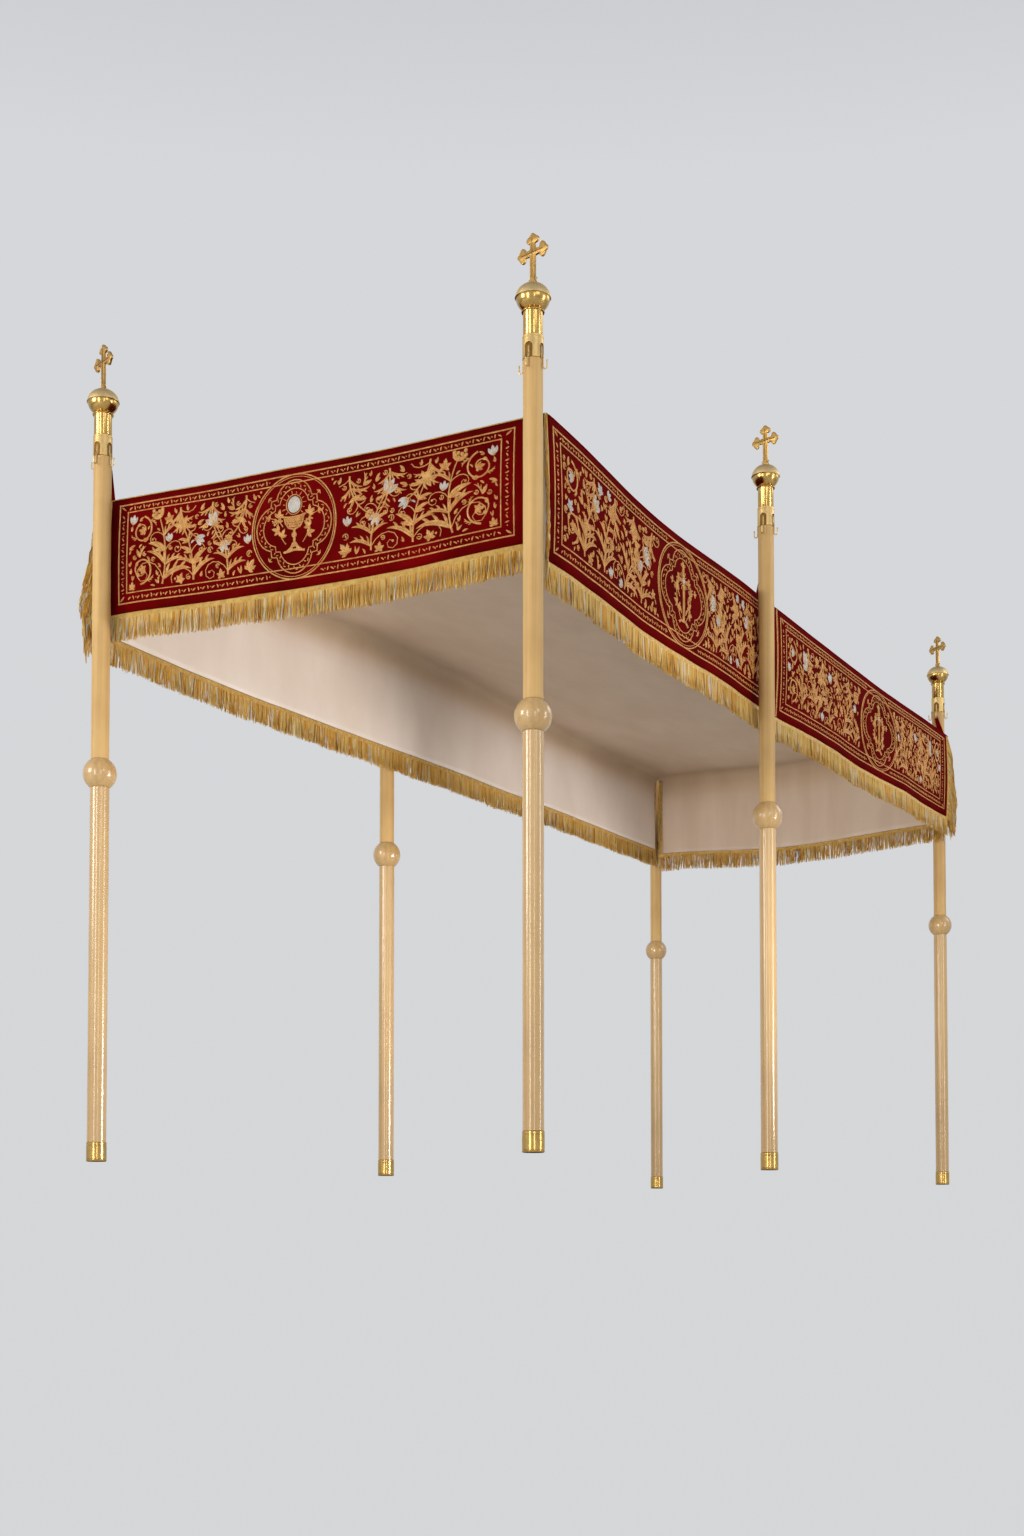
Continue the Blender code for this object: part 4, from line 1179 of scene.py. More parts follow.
class Stitching:
    """Strips of one thread on one side of the cover."""

    def __init__(self):
        self.places, self.thread, self.faces, self.padding = [], [], [], []
        self.count = 0

    def strip(self, line, widths, rise, section=STEM_SECTION):
        """A strip along a line of (s, t) points, with a width at each point or one for all."""
        line = np.asarray(line, float)
        widths = np.broadcast_to(np.asarray(widths, float), len(line))
        tangent = np.gradient(line, axis=0)
        size = np.maximum(np.linalg.norm(tangent, axis=1), 1e-9)
        normal = np.column_stack([-tangent[:, 1], tangent[:, 0]]) / size[:, None]
        across = np.array([a for a, b in section])
        bulge = np.array([b for a, b in section])
        offset = widths[:, None] / 2 * across
        flat = line[:, None, :] + offset[:, :, None] * normal[:, None, :]
        full = np.minimum(1, widths / max(widths.max(), 1e-9) * 1.6)
        over = 1 + 0.4 * (len(self.places) * 0.618 % 1)
        height = rise * over * bulge[None] * full[:, None]
        # padding drives the thread's painted shade: low at the edges and along a leaf's sunk midrib
        depth = bulge if len(section) == len(LEAF_SECTION) and section[2][1] < 1 else 0.55 + 0.45 * bulge
        self.padding.append(np.tile(depth, len(line)))
        run = np.concatenate([[0], np.cumsum(np.linalg.norm(np.diff(line, axis=0), axis=1))])
        ring = len(section)
        self.places.append(np.dstack([flat, height]).reshape(-1, 3))
        self.thread.append(np.dstack([offset, np.broadcast_to(run[:, None], offset.shape)]
                                     ).reshape(-1, 2))
        start = self.count
        self.faces += [(start + k * ring + i, start + k * ring + i + 1,
                        start + (k + 1) * ring + i + 1, start + (k + 1) * ring + i)
                       for k in range(len(line) - 1) for i in range(ring - 1)]
        self.count += len(line) * ring

    def boss(self, centre, radius, rise, sides=10, stretch=1.0):
        """A padded dot or dome, as for a berry, a flower's heart or the host."""
        rings = ((1.0, -0.15), (0.88, 0.65), (0.55, 0.95), (0.02, 1.0))
        turns = np.arange(sides) * 2 * pi / sides
        points = []
        for reach, height in rings:
            points.append(np.column_stack([centre[0] + radius * reach * np.cos(turns),
                                           centre[1] + radius * stretch * reach * np.sin(turns),
                                           np.full(sides, rise * height)]))
        places = np.concatenate(points)
        start = self.count
        self.places.append(places)
        self.padding.append(np.repeat([height for reach, height in rings], sides))
        self.thread.append(places[:, :2] - np.array(centre))
        for level in range(len(rings) - 1):
            for i in range(sides):
                j = (i + 1) % sides
                a, b = start + level * sides, start + (level + 1) * sides
                self.faces.append((b + i, b + j, a + j, a + i))
        self.faces.append(tuple(start + (len(rings) - 1) * sides + i for i in reversed(range(sides))))
        self.count += len(places)

    def lay(self, name, side, material):
        """The strips as one piece on the side's velvet."""
        places = np.concatenate(self.places)
        share = places[:, 0] / SIDE_LENGTH[KIND[side]]
        points = side_points(side, share, places[:, 1] / PANEL_HEIGHT,
                             VELVET_THICKNESS / 2 + places[:, 2])
        outward = np.cross(np.array([0, 0, -1]), ALONG[side]) @ -INTO[side] > 0
        faces = self.faces if outward else [face[::-1] for face in self.faces]
        obj = add_mesh(name, points, faces, material, thread=np.concatenate(self.thread))
        padding = np.clip(np.concatenate(self.padding), 0, 1).astype(np.float32)
        obj.data.attributes.new("padding", "FLOAT", "POINT").data.foreach_set("value", padding)
        return rides(obj, "gold_thread")


def heading(angle):
    return np.array([cos(angle), sin(angle)])


def bent_line(base, angle, length, bend, steps):
    """A line from base that turns by bend, in radians, over its length."""
    points = [np.array(base, float)]
    for i in range(steps):
        turn = angle + bend * (i + 0.5) / steps
        points.append(points[-1] + heading(turn) * length / steps)
    return np.array(points)


def petal(work, base, angle, length, width, bend=0.0, rise=0.0018, steps=6, full=0.45):
    """A pointed leaf or petal, broadest at the share full of its length, with a sunk midrib."""
    share = np.linspace(0, 1, steps + 1)
    warped = share ** (np.log(0.5) / np.log(full))
    widths = width * np.sin(pi * np.clip(warped, 0, 1)) ** 0.75
    widths[0], widths[-1] = width * 0.18, width * 0.04
    work.strip(bent_line(base, angle, length, bend, steps), widths, rise, LEAF_SECTION)


def vine_leaf(work, base, angle, size, hand=1):
    """A lobed leaf: five padded lobes fanned about a short stalk."""
    stalk = heading(angle) * size * 0.12
    root = np.array(base) + stalk
    work.strip([base, root, root + stalk], size * 0.07, 0.0012, LINE_SECTION)
    lobes = ((0, 1.0, 0.40), (0.80, 0.80, 0.33), (-0.80, 0.80, 0.33), (1.75, 0.56, 0.28),
             (-1.75, 0.56, 0.28))
    for offset, length, width in lobes:
        petal(work, root, angle + offset, size * length * 0.88, size * width, -0.25 * offset * hand,
              0.0019, 5, 0.42)
        for tooth in (1, -1):
            way = angle + offset
            start = root + heading(way) * size * length * 0.42
            petal(work, start, way + tooth * 0.75, size * length * 0.30, size * width * 0.34, 0,
                  0.0015, 3)


def acanthus(work, base, angle, size, hand):
    """A curling leaf with a row of fingers down its outer edge."""
    spine = bent_line(base, angle, size, 1.15 * hand, 8)
    petal(work, base, angle, size, size * 0.155, 1.15 * hand, 0.0021, 8, 0.38)
    for i, share in enumerate((1, 3, 5)):
        way = angle + 1.15 * hand * share / 8 - 0.85 * hand
        petal(work, spine[share], way, size * (0.38 - 0.06 * i), size * 0.085, 0.6 * hand, 0.0017, 4)


def flower(work, heart, centre, size, petals, turn):
    """An open flower of silver petals about a gold heart."""
    for i in range(petals):
        way = turn + 2 * pi * i / petals
        base = np.array(centre) + heading(way) * size * 0.13
        petal(work, base, way, size * 0.42, size * 0.34, 0.15, 0.0020, 5, 0.6)
    heart.boss(centre, size * 0.12, 0.0030, 8)
    for i in range(petals):
        way = turn + 2 * pi * (i + 0.5) / petals
        heart.boss(np.array(centre) + heading(way) * size * 0.22, size * 0.035, 0.0024, 5)


def lily(work, heart, base, angle, size):
    """A half-open silver bell of three petals on a gold cup."""
    for offset, length in ((0.0, 1.10), (0.62, 1.0), (-0.62, 1.0)):
        petal(work, base, angle + offset, size * length, size * 0.42, -0.45 * offset, 0.0020, 5, 0.55)
    for offset in (0.85, -0.85, 0.25, -0.25):
        petal(heart, base, angle + offset, size * 0.36, size * 0.13, 0.2 * offset, 0.0024, 3)


def tendril(work, base, angle, length, turns, hand, width=0.0026):
    """A thin stem that curls into a loop and ends in a bud."""
    steps = max(8, int(9 * turns))
    points, place, way = [np.array(base, float)], np.array(base, float), angle
    for i in range(steps):
        share = (i + 0.5) / steps
        way += hand * turns * 2 * pi / steps * (0.25 + 1.5 * share)
        place = place + heading(way) * length / steps * (1.25 - 0.75 * share)
        points.append(place)
    work.strip(points, np.linspace(width, width * 0.7, len(points)), 0.0013, LINE_SECTION)
    work.boss(place, width * 1.15, 0.0018, 6)


def grapes(work, base, angle, size):
    """A bunch of padded berries that narrows away from its stalk."""
    for row, count in enumerate((3, 4, 3, 2, 1)):
        for i in range(count):
            along = heading(angle) * size * (0.16 + 0.19 * row)
            aside = heading(angle + pi / 2) * size * 0.20 * (i - (count - 1) / 2)
            work.boss(np.array(base) + along + aside, size * 0.105, 0.0026, 7)
    for offset in (0.9, -0.9):
        petal(work, base, angle + offset, size * 0.55, size * 0.22, -0.3 * offset)


class Laid:
    """Stitching whose design runs along the side from a start, stretched, or mirrored below 0. It
    stays in a field of a length between two levels, and out of the oval hub.
    """

    def __init__(self, work, start, stretch, field, placed):
        self.work, self.start, self.stretch, self.field, self.placed = work, start, stretch, field, placed

    def within(self, line):
        length, top, bottom, hub = self.field
        apart = np.hypot((line[:, 0] - hub[0]) / hub[2], (line[:, 1] - hub[1]) / hub[3])
        return ((line[:, 0] > 0) & (line[:, 0] < length) & (line[:, 1] > top) & (line[:, 1] < bottom)
                & (apart > 1))

    def strip(self, line, widths, rise, section=STEM_SECTION):
        line = np.array(line, float)
        wide = np.broadcast_to(np.asarray(widths, float), len(line))
        kept = self.within(line)
        if not kept.all():
            stop = int(np.argmin(kept))
            if stop < 3:
                return
            line, wide = line[:stop], wide[:stop]
        middles = (line[1:] + line[:-1]) / 2
        self.placed += [(x, y, w / 2) for (x, y), w in zip(line, wide)]
        self.placed += [(x, y, w / 2) for (x, y), w in zip(middles, wide)]
        line[:, 0] = self.start + self.stretch * line[:, 0]
        self.work.strip(line, wide, rise, section)

    def boss(self, centre, radius, *rest):
        if self.within(np.array([centre]))[0]:
            self.placed.append((centre[0], centre[1], radius))
            self.work.boss((self.start + self.stretch * centre[0], centre[1]), radius, *rest)


def scroll(gold, silver, rng, centre, radius, start, hand):
    """A spiral stem with curled leaves along its outer side and a leaf or lily at its heart."""
    turns, steps = 1.25, 26
    share = np.linspace(0, 1, steps + 1)
    way = start + hand * 2 * pi * turns * share
    reach = radius * (1 - 0.70 * share ** 0.85)
    line = np.column_stack([centre[0] + reach * np.cos(way), centre[1] + reach * np.sin(way)])
    gold.strip(line, np.linspace(0.0062, 0.0036, steps + 1), 0.0020)
    for order, index in enumerate((2, 7, 12, 17)):
        outward = way[index] + hand * (0.80 + 0.35 * rng.random())
        size = radius * (0.75 - 0.06 * order) * (0.85 + 0.3 * rng.random())
        if (order + int(2 * rng.random())) % 2:
            acanthus(gold, line[index], outward, size, hand)
        else:
            tendril(gold, line[index], outward, size * 1.3, 0.8, hand, 0.0034)
            petal(gold, line[index], outward + 0.6 * hand, size * 0.55, size * 0.24)
    if rng.random() < 0.5:
        vine_leaf(gold, line[-1], way[-1] + pi, radius * 0.62, hand)
    else:
        lily(silver, gold, line[-1], way[-1] + pi, radius * 0.62)


def spray(gold, silver, rng, base, angle, size, hand):
    """A tall plant: a bending stem with fingered leaves on both sides, and a leaf or lily on top."""
    bend = (0.5 + 0.5 * rng.random()) * hand
    line = bent_line(base, angle, size, bend, 14)
    gold.strip(line, np.linspace(0.0066, 0.0036, 15), 0.0019)
    for order, index in enumerate((1, 4, 7, 10)):
        way = angle + bend * index / 14
        for flip in (1, -1):
            reach = size * (0.50 - 0.075 * order) * (0.75 + 0.45 * rng.random())
            outward = way + flip * (0.40 + 0.35 * rng.random())
            pick = (order + (flip > 0) + int(2 * rng.random())) % 4
            if pick == 0:
                tendril(gold, line[index], outward, reach * 2.3, 1.25, flip, 0.0036)
            elif pick == 3:
                petal(gold, line[index], outward, reach, reach * 0.25, 0.8 * flip, 0.0021, 8, 0.40)
                petal(gold, line[index], outward + 0.45 * flip, reach * 0.6, reach * 0.20, 0.6 * flip)
            else:
                acanthus(gold, line[index], outward, reach, flip)
    way = angle + bend
    pick = rng.random()
    if pick < 0.4:
        lily(silver, gold, line[-1], way, size * 0.27)
    elif pick < 0.75:
        vine_leaf(gold, line[-1], way, size * 0.30, hand)
    else:
        grapes(gold, line[-1], way, size * 0.30)


def clearance(placed, spots):
    """Free distance from each spot to the nearest stitching."""
    placed = np.array(placed)
    best = np.full(len(spots), np.inf)
    for start in range(0, len(placed), 600):
        block = placed[start:start + 600]
        gap = np.linalg.norm(spots[:, None, :] - block[None, :, :2], axis=2) - block[None, :, 2]
        best = np.minimum(best, gap.min(axis=1))
    return best


def filler(gold, silver, rng, spot, free, angle):
    """A motif that fills the free circle about a spot."""
    base = spot - heading(angle) * free * 0.95
    pick = rng.random()
    hand = 1 if rng.random() < 0.5 else -1
    if free > 0.0142:
        if pick < 0.38:
            lily(silver, gold, base, angle, free * 1.75)
        elif pick < 0.6:
            vine_leaf(silver if rng.random() < 0.3 else gold, base, angle, free * 1.8, hand)
        else:
            acanthus(gold, base, angle, free * 1.9, hand)
            petal(gold, base, angle - 0.7 * hand, free * 1.3, free * 0.5, 0.3 * hand)
    elif free > 0.0091:
        if pick < 0.45:
            petal(gold, base, angle, free * 1.95, free * 0.75, 0.5 * hand, 0.0021, 6, 0.42)
            petal(gold, base, angle + 0.85 * hand, free * 1.25, free * 0.42, -0.3 * hand, 0.0018, 4)
        elif pick < 0.62:
            for offset in (0.42, -0.42):
                petal(gold, base, angle + offset, free * 1.75, free * 0.52, -0.7 * offset, 0.0020, 5)
            gold.boss(base + heading(angle) * free * 0.25, free * 0.16, 0.0024, 7)
        else:
            turns = np.linspace(0, 1.7 * pi, 13) * hand
            ring = spot + free * 0.62 * np.column_stack([np.cos(turns), np.sin(turns)])
            gold.strip(ring, np.linspace(0.0040, 0.0026, 13), 0.0016)
            petal(gold, spot - heading(angle) * free * 0.45, angle, free * 0.95, free * 0.34, 0.4 * hand)
    else:
        work = silver if rng.random() < 0.05 else gold
        petal(work, base, angle, free * 2.1, min(free * 0.85, 0.0066), 0.9 * hand, 0.0017, 4, 0.45)


def foliage(gold, silver, seed, length):
    """Half a panel's scrollwork, from its outer end towards the medallion: two scrolls at the end,
    then tall leafy plants that rise from the foot and hang from the top, with leaves packed between.
    """
    rng = random.Random(seed)
    top, bottom = gold.field[1:3]
    height = bottom - top
    for up in (1, -1):
        centre = np.array([height * 0.22, (top + bottom) / 2 + up * height * 0.25])
        scroll(gold, silver, rng, centre, height * 0.185, pi / 2 * up + 0.3 * rng.random(), -up)
    plants = max(3, round(length / (height * 0.34)))
    pitch = (length - height * 0.40) / plants
    for order in range(plants):
        rises = order % 2 == 0
        base = (height * 0.40 + pitch * (order + 0.4 + 0.25 * rng.random()),
                bottom - height * 0.03 if rises else top + height * 0.03)
        lean = 0.55 * (rng.random() - 0.35)
        hand = 1 if rng.random() < 0.5 else -1
        size = height * (0.66 + 0.22 * rng.random()) * (1.0 if rises else 0.72)
        spray(gold, silver, rng, base, (-pi / 2 + lean) if rises else (pi / 2 - lean), size, hand)
    reach, top, bottom, hub = gold.field
    for least, most, tries in ((0.0150, 0.024, 500), (0.0102, 0.0150, 900), (0.0078, 0.0102, 900)):
        spots = np.array([(rng.random(), rng.random()) for k in range(tries)])
        spots = spots * np.array([reach, bottom - top]) + np.array([0, top])
        apart = np.hypot((spots[:, 0] - hub[0]) / hub[2], (spots[:, 1] - hub[1]) / hub[3])
        inside = np.minimum.reduce([spots[:, 0], reach - spots[:, 0], spots[:, 1] - top,
                                    bottom - spots[:, 1], (apart - 1) * hub[3]])
        free = np.minimum(clearance(gold.placed, spots), inside)
        taken = []
        for index in np.argsort(-free):
            if free[index] < least:
                break
            room = min(free[index], most)
            spot = spots[index]
            if any((spot[0] - x) ** 2 + (spot[1] - y) ** 2 < (room + r) ** 2 for x, y, r in taken):
                continue
            flow = -pi / 2 + 0.55 * sin(spot[0] * 23 + spot[1] * 9) + 1.1 * (rng.random() - 0.5)
            filler(gold, silver, rng, spot, room - 0.0009, flow)
            taken.append((spot[0], spot[1], room))


def rectangle(work, left, right, top, bottom, width):
    """A mitred line round a rectangle, in short steps so that it follows the cloth."""
    for line in (((left, top), (right, top)), ((right, top), (right, bottom)),
                 ((right, bottom), (left, bottom)), ((left, bottom), (left, top))):
        first, last = np.array(line[0]), np.array(line[1])
        reach = (last - first) / np.linalg.norm(last - first) * width / 2
        steps = max(2, int(np.linalg.norm(last - first) / 0.025))
        share = np.linspace(0, 1, steps + 1)[:, None]
        work.strip((first - reach) * (1 - share) + (last + reach) * share, width, 0.0016)


def border_marks(work, rng, first, last, away=1):
    """Small slanted leaves to and fro down the middle of a border band, with dots between them."""
    first, last = np.array(first, float), np.array(last, float)
    run = last - first
    way = np.arctan2(run[1], run[0])
    count = max(1, int(np.linalg.norm(run) / MARK_PITCH))
    for k in range(count):
        centre = first + run * (k + 0.5) / count
        lean = way + (0.85 + 0.25 * rng.random()) * (1 if k % 2 else -1) * away
        long = 0.0125 + 0.0025 * rng.random()
        petal(work, centre - heading(lean) * long / 2, lean, long, 0.0050, 0.7 * away, 0.0014, 4)
        if k % 2:
            spot = centre + run / count / 2
            work.boss(spot, 0.0019 + 0.0006 * rng.random(), 0.0015, 6)


def oval(centre, wide, tall, steps=64):
    turns = np.linspace(0, 2 * pi, steps + 1)
    return np.column_stack([centre[0] + wide * np.cos(turns), centre[1] + tall * np.sin(turns)])


def barbed(centre, wide, tall, steps=10):
    """A quatrefoil with a square barb between its four lobes."""
    points = []
    for quarter in range(4):
        turn = quarter * pi / 2
        for i in range(steps + 1):
            way = radians(-78 + 156 * i / steps)
            x, y = 0.50 + 0.46 * cos(way), 0.46 * sin(way)
            points.append((x * cos(turn) - y * sin(turn), x * sin(turn) + y * cos(turn)))
        barb = turn + pi / 4
        points.append((0.82 * cos(barb), 0.82 * sin(barb)))
    points.append(points[0])
    return np.array([(centre[0] + wide * x, centre[1] + tall * y) for x, y in points])


def medallion(gold, silver, rng, centre, wide, tall, subject):
    """An oval with a barbed quatrefoil in it, a dotted band and a subject at its heart."""
    gold.strip(oval(centre, wide, tall), 0.0042, 0.0020)
    gold.strip(oval(centre, wide * 0.955, tall * 0.955), 0.0024, 0.0014, LINE_SECTION)
    outer = barbed(centre, wide * 0.93, tall * 0.93)
    gold.strip(outer, 0.0036, 0.0018)
    inner = barbed(centre, wide * 0.76, tall * 0.76)
    gold.strip(inner, 0.0032, 0.0018)
    band = barbed(centre, wide * 0.845, tall * 0.845, 14)
    for k in range(0, len(band) - 1, 1):
        way = np.arctan2(*(band[k + 1] - band[k])[::-1])
        petal(gold, band[k], way + (0.7 if k % 2 else -0.7), 0.011, 0.0036, 0.8, 0.0013, 3)
    for quarter in range(4):
        corner = pi / 4 + quarter * pi / 2
        place = np.array(centre) + np.array([wide * cos(corner), tall * sin(corner)]) * 0.86
        for offset in (0.0, 0.9, -0.9):
            petal(gold, place, corner + pi / 2 + offset + pi / 2, wide * 0.085, wide * 0.030, 0, 0.0014, 3)
    subject(gold, silver, rng, np.array(centre, float), wide, tall)


def sprig(work, silver, base, angle, size, hand):
    """A vine twig with three small leaves and two berries, for the sides of a medallion."""
    line = bent_line(base, angle, size, 0.9 * hand, 9)
    work.strip(line, np.linspace(0.0036, 0.0020, len(line)), 0.0015, LINE_SECTION)
    for index, offset in ((3, 1.0), (5, -1.0), (9, 0.1)):
        way = angle + 0.9 * hand * index / 9 + offset
        for lobe_turn, long in ((0, 1.0), (0.95, 0.75), (-0.95, 0.75)):
            petal(work, line[index], way + lobe_turn, size * 0.30 * long, size * 0.13, 0, 0.0018, 4)
    for index, offset in ((4, 1.6), (7, -1.5)):
        way = angle + 0.9 * hand * index / 9 + offset
        work.boss(line[index] + heading(way) * size * 0.13, size * 0.045, 0.0022, 7)


def chalice(gold, silver, rng, centre, wide, tall):
    """A cup with a host above it, between two vine sprigs."""
    x, y = centre
    unit = tall / 0.16

    def at(px, py):
        return (x + px * unit, y + py * unit)

    bowl = [at(-0.034, -0.028), at(-0.031, -0.012), at(-0.021, 0.003), at(0.0, 0.010),
            at(0.021, 0.003), at(0.031, -0.012), at(0.034, -0.028)]
    gold.strip(bowl, 0.0060 * unit, 0.0026, LEAF_SECTION)
    for level, half in ((-0.026, 0.030), (-0.019, 0.029), (-0.011, 0.026), (-0.003, 0.019)):
        gold.strip([at(-half, level), at(0, level + 0.004), at(half, level)], 0.0075 * unit, 0.0022,
                   LEAF_SECTION)
    gold.strip([at(-0.043, -0.033), at(-0.02, -0.029), at(0, -0.028), at(0.02, -0.029),
                at(0.043, -0.033)], 0.0056 * unit, 0.0030)
    stem = [at(0, 0.008), at(0, 0.020), at(0, 0.027), at(0, 0.034), at(0, 0.048), at(0, 0.064)]
    gold.strip(stem, np.array([0.010, 0.008, 0.019, 0.009, 0.008, 0.018]) * unit, 0.0030, LEAF_SECTION)
    gold.boss(at(0, 0.027), 0.0095 * unit, 0.0036, 10)
    for hand in (1, -1):
        gold.strip([at(hand * 0.004, 0.050), at(hand * 0.012, 0.066), at(hand * 0.030, 0.076)],
                   np.array([0.006, 0.010, 0.005]) * unit, 0.0026)
        tendril(gold, at(hand * 0.010, 0.058), 0.6 if hand > 0 else pi - 0.6, 0.026 * unit, 0.7, hand)
        sprig(gold, silver, at(hand * 0.030, 0.052), -pi / 2 + hand * 0.75, 0.092 * unit, -hand)
        sprig(gold, silver, at(hand * 0.040, -0.002), -pi / 2 + hand * 0.5, 0.058 * unit, hand)
    gold.strip([at(-0.038, 0.077), at(0, 0.072), at(0.038, 0.077)], 0.0075 * unit, 0.0030)
    silver.boss(at(0, -0.066), 0.0235 * unit, 0.0022, 24, 1.12)
    gold.strip(oval(at(0, -0.066), 0.0275 * unit, 0.0305 * unit, 30), 0.0030 * unit, 0.0020)
    for k in range(12):
        way = -pi / 2 + (k - 5.5) * 0.42
        gold.strip([np.array(at(0, -0.066)) + heading(way) * 0.032 * unit,
                    np.array(at(0, -0.066)) + heading(way) * (0.040 + 0.004 * (k % 2)) * unit],
                   0.0026 * unit, 0.0014, LINE_SECTION)


def vine_cross(gold, silver, rng, centre, wide, tall):
    """A plain tall cross with rays at its crossing, between two climbing vines."""
    x, y = centre
    unit = tall / 0.16

    def at(px, py):
        return (x + px * unit * 1.12, y + py * unit)

    gold.strip([at(0, -0.092), at(0, -0.03), at(0, 0.03), at(0, 0.086)], 0.0135 * unit, 0.0030,
               LEAF_SECTION)
    gold.strip([at(-0.036, -0.046), at(0, -0.046), at(0.036, -0.046)], 0.0125 * unit, 0.0030,
               LEAF_SECTION)
    for place, way in ((at(0, -0.090), -pi / 2), (at(-0.034, -0.046), pi), (at(0.034, -0.046), 0)):
        for offset in (0, 1.1, -1.1):
            petal(gold, place, way + offset, 0.020 * unit, 0.012 * unit, 0, 0.0028, 4, 0.6)
    silver.boss(at(0, -0.046), 0.0100 * unit, 0.0040, 14)
    for k in range(16):
        way = pi / 8 * (k + 0.5)
        gold.strip([np.array(at(0, -0.046)) + heading(way) * 0.018 * unit,
                    np.array(at(0, -0.046)) + heading(way) * (0.030 + 0.006 * (k % 2)) * unit],
                   0.0026 * unit, 0.0016, LINE_SECTION)
    gold.strip([at(-0.034, 0.092), at(-0.017, 0.082), at(0, 0.080), at(0.017, 0.082), at(0.034, 0.092)],
               0.0085 * unit, 0.0026)
    for hand in (1, -1):
        sprig(gold, silver, at(hand * 0.018, 0.078), -pi / 2 + hand * 0.85, 0.100 * unit, -hand)
        sprig(gold, silver, at(hand * 0.030, 0.010), -pi / 2 + hand * 0.55, 0.070 * unit, hand)
        petal(gold, at(hand * 0.014, 0.060), -pi / 2 + hand * 0.5, 0.030 * unit, 0.010 * unit, 0.4 * hand)


def stitch_panels(side):
    """The gold and the silver stitching of one side, panel by panel."""
    gold, silver = Stitching(), Stitching()
    for order, panel in enumerate(PANELS[side]):
        rng = random.Random(31 * order + len(side))
        top, bottom = OUTER_LINES
        low, high = INNER_LINES
        rectangle(gold, panel.outer[0], panel.outer[1], top, bottom, 0.0046)
        rectangle(gold, panel.inner[0], panel.inner[1], low, high, 0.0038)
        wide, tall = panel.half_width, (bottom - top) / 2
        band_top, band_bottom = (top + low) / 2, (bottom + high) / 2
        left, right = ((a + b) / 2 for a, b in zip(panel.outer, panel.inner))
        reach = wide * 0.60
        for level in (band_top, band_bottom):
            border_marks(gold, rng, (left + 0.016, level), (panel.centre - reach, level))
            border_marks(gold, rng, (right - 0.016, level), (panel.centre + reach, level), -1)
        for edge in (left, right):
            border_marks(gold, rng, (edge, band_top + 0.016), (edge, band_bottom - 0.016))
        for corner_x, inner_x in zip(panel.outer, panel.inner):
            for corner_y, inner_y in ((top, low), (bottom, high)):
                way = np.arctan2(inner_y - corner_y, inner_x - corner_x)
                petal(gold, (corner_x + 0.2 * (inner_x - corner_x),
                             corner_y + 0.2 * (inner_y - corner_y)), way, 0.022, 0.006)
        middle = (top + bottom) / 2
        subject = chalice if side in ("front", "back") else vine_cross
        medallion(gold, silver, rng, (panel.centre, middle), wide, tall, subject)
        seed = 3 + 5 * order + (0 if side in ("front", "back") else 1)
        first, last = panel.inner[0] + 0.006, panel.inner[1] - 0.006
        rooms = (panel.centre - first, last - panel.centre)
        nominal = sum(rooms) / 2
        for start, stretch in ((first, rooms[0] / nominal), (last, -rooms[1] / nominal)):
            hub = (nominal, middle, wide + 0.012, tall + 0.012)
            field = (nominal - 0.30 * wide, low + 0.005, high - 0.005, hub)
            placed = []
            foliage(Laid(gold, start, stretch, field, placed),
                    Laid(silver, start, stretch, field, placed), seed, nominal - wide)
    if KIND[side] == "long":
        drops = np.linspace(0.002, PANEL_HEIGHT - 0.001, 16)
        gold.strip([(PANEL_SEAM, drop) for drop in drops], 0.0085, 0.0030, LEAF_SECTION)
    return gold, silver


# Stage, lights and camera

def make_floor():
    """A plain pale floor that is opaque from above and clear from below, where the camera is."""
    material, tree, shader = new_material("pale floor")
    shade(shader, Base_Color=(0.78, 0.78, 0.77, 1), Roughness=0.9)
    side = add_node(tree, "ShaderNodeNewGeometry").outputs["Backfacing"]
    clear = add_node(tree, "ShaderNodeBsdfTransparent").outputs[0]
    mixed = add_node(tree, "ShaderNodeMixShader", i0=side, i1=shader.outputs[0], i2=clear)
    tree.links.new(mixed.outputs[0], tree.nodes["Material Output"].inputs["Surface"])
    half = 14.0
    floor = add_mesh("floor", [(-half, -half, 0), (half, -half, 0), (half, half, 0), (-half, half, 0)],
                     [(0, 1, 2, 3)], material, smooth=False)


def aim_light(data, place, target):
    light = bpy.data.objects.new(data.name, data)
    bpy.context.scene.collection.objects.link(light)
    light.location = place
    aim = Vector(target) - Vector(place)
    light.rotation_euler = aim.to_track_quat("-Z", "Y").to_euler()


def make_spot(name, place, target, cone, power):
    """A low spotlight whose cone stays under the hem, so that it lights the lining alone."""
    data = bpy.data.lights.new(name, "SPOT")
    data.energy = power
    data.spot_size = radians(cone)
    data.spot_blend = 0.3
    data.shadow_soft_size = 0.22
    data.color = (1.0, 0.95, 0.90)
    aim_light(data, place, target)


def make_light(name, place, target, size, power, colour=(1, 1, 1)):
    data = bpy.data.lights.new(name, "AREA")
    data.shape = "RECTANGLE"
    data.size, data.size_y = size
    data.energy = power
    data.color = colour
    aim_light(data, place, target)


def make_world():
    """Soft light that is pale about the horizon and dimmer overhead and underfoot."""
    world = bpy.data.worlds.new("studio")
    bpy.context.scene.world = world
    world.use_nodes = True
    tree = world.node_tree
    background = tree.nodes["Background"]
    direction = add_node(tree, "ShaderNodeTexCoord").outputs["Generated"]
    rise = add_node(tree, "ShaderNodeSeparateXYZ", Vector=direction).outputs["Z"]
    level = add_node(tree, "ShaderNodeMapRange", Value=rise, i1=-1.0, i2=1.0).outputs[0]
    colour = ramp(tree, level, (0.30, (0.30, 0.29, 0.28)), (0.40, (0.74, 0.75, 0.76)),
                  (0.74, (0.74, 0.755, 0.78)), (0.88, (0.42, 0.43, 0.45)))
    tree.links.new(colour, background.inputs["Color"])
    background.inputs["Strength"].default_value = 0.90


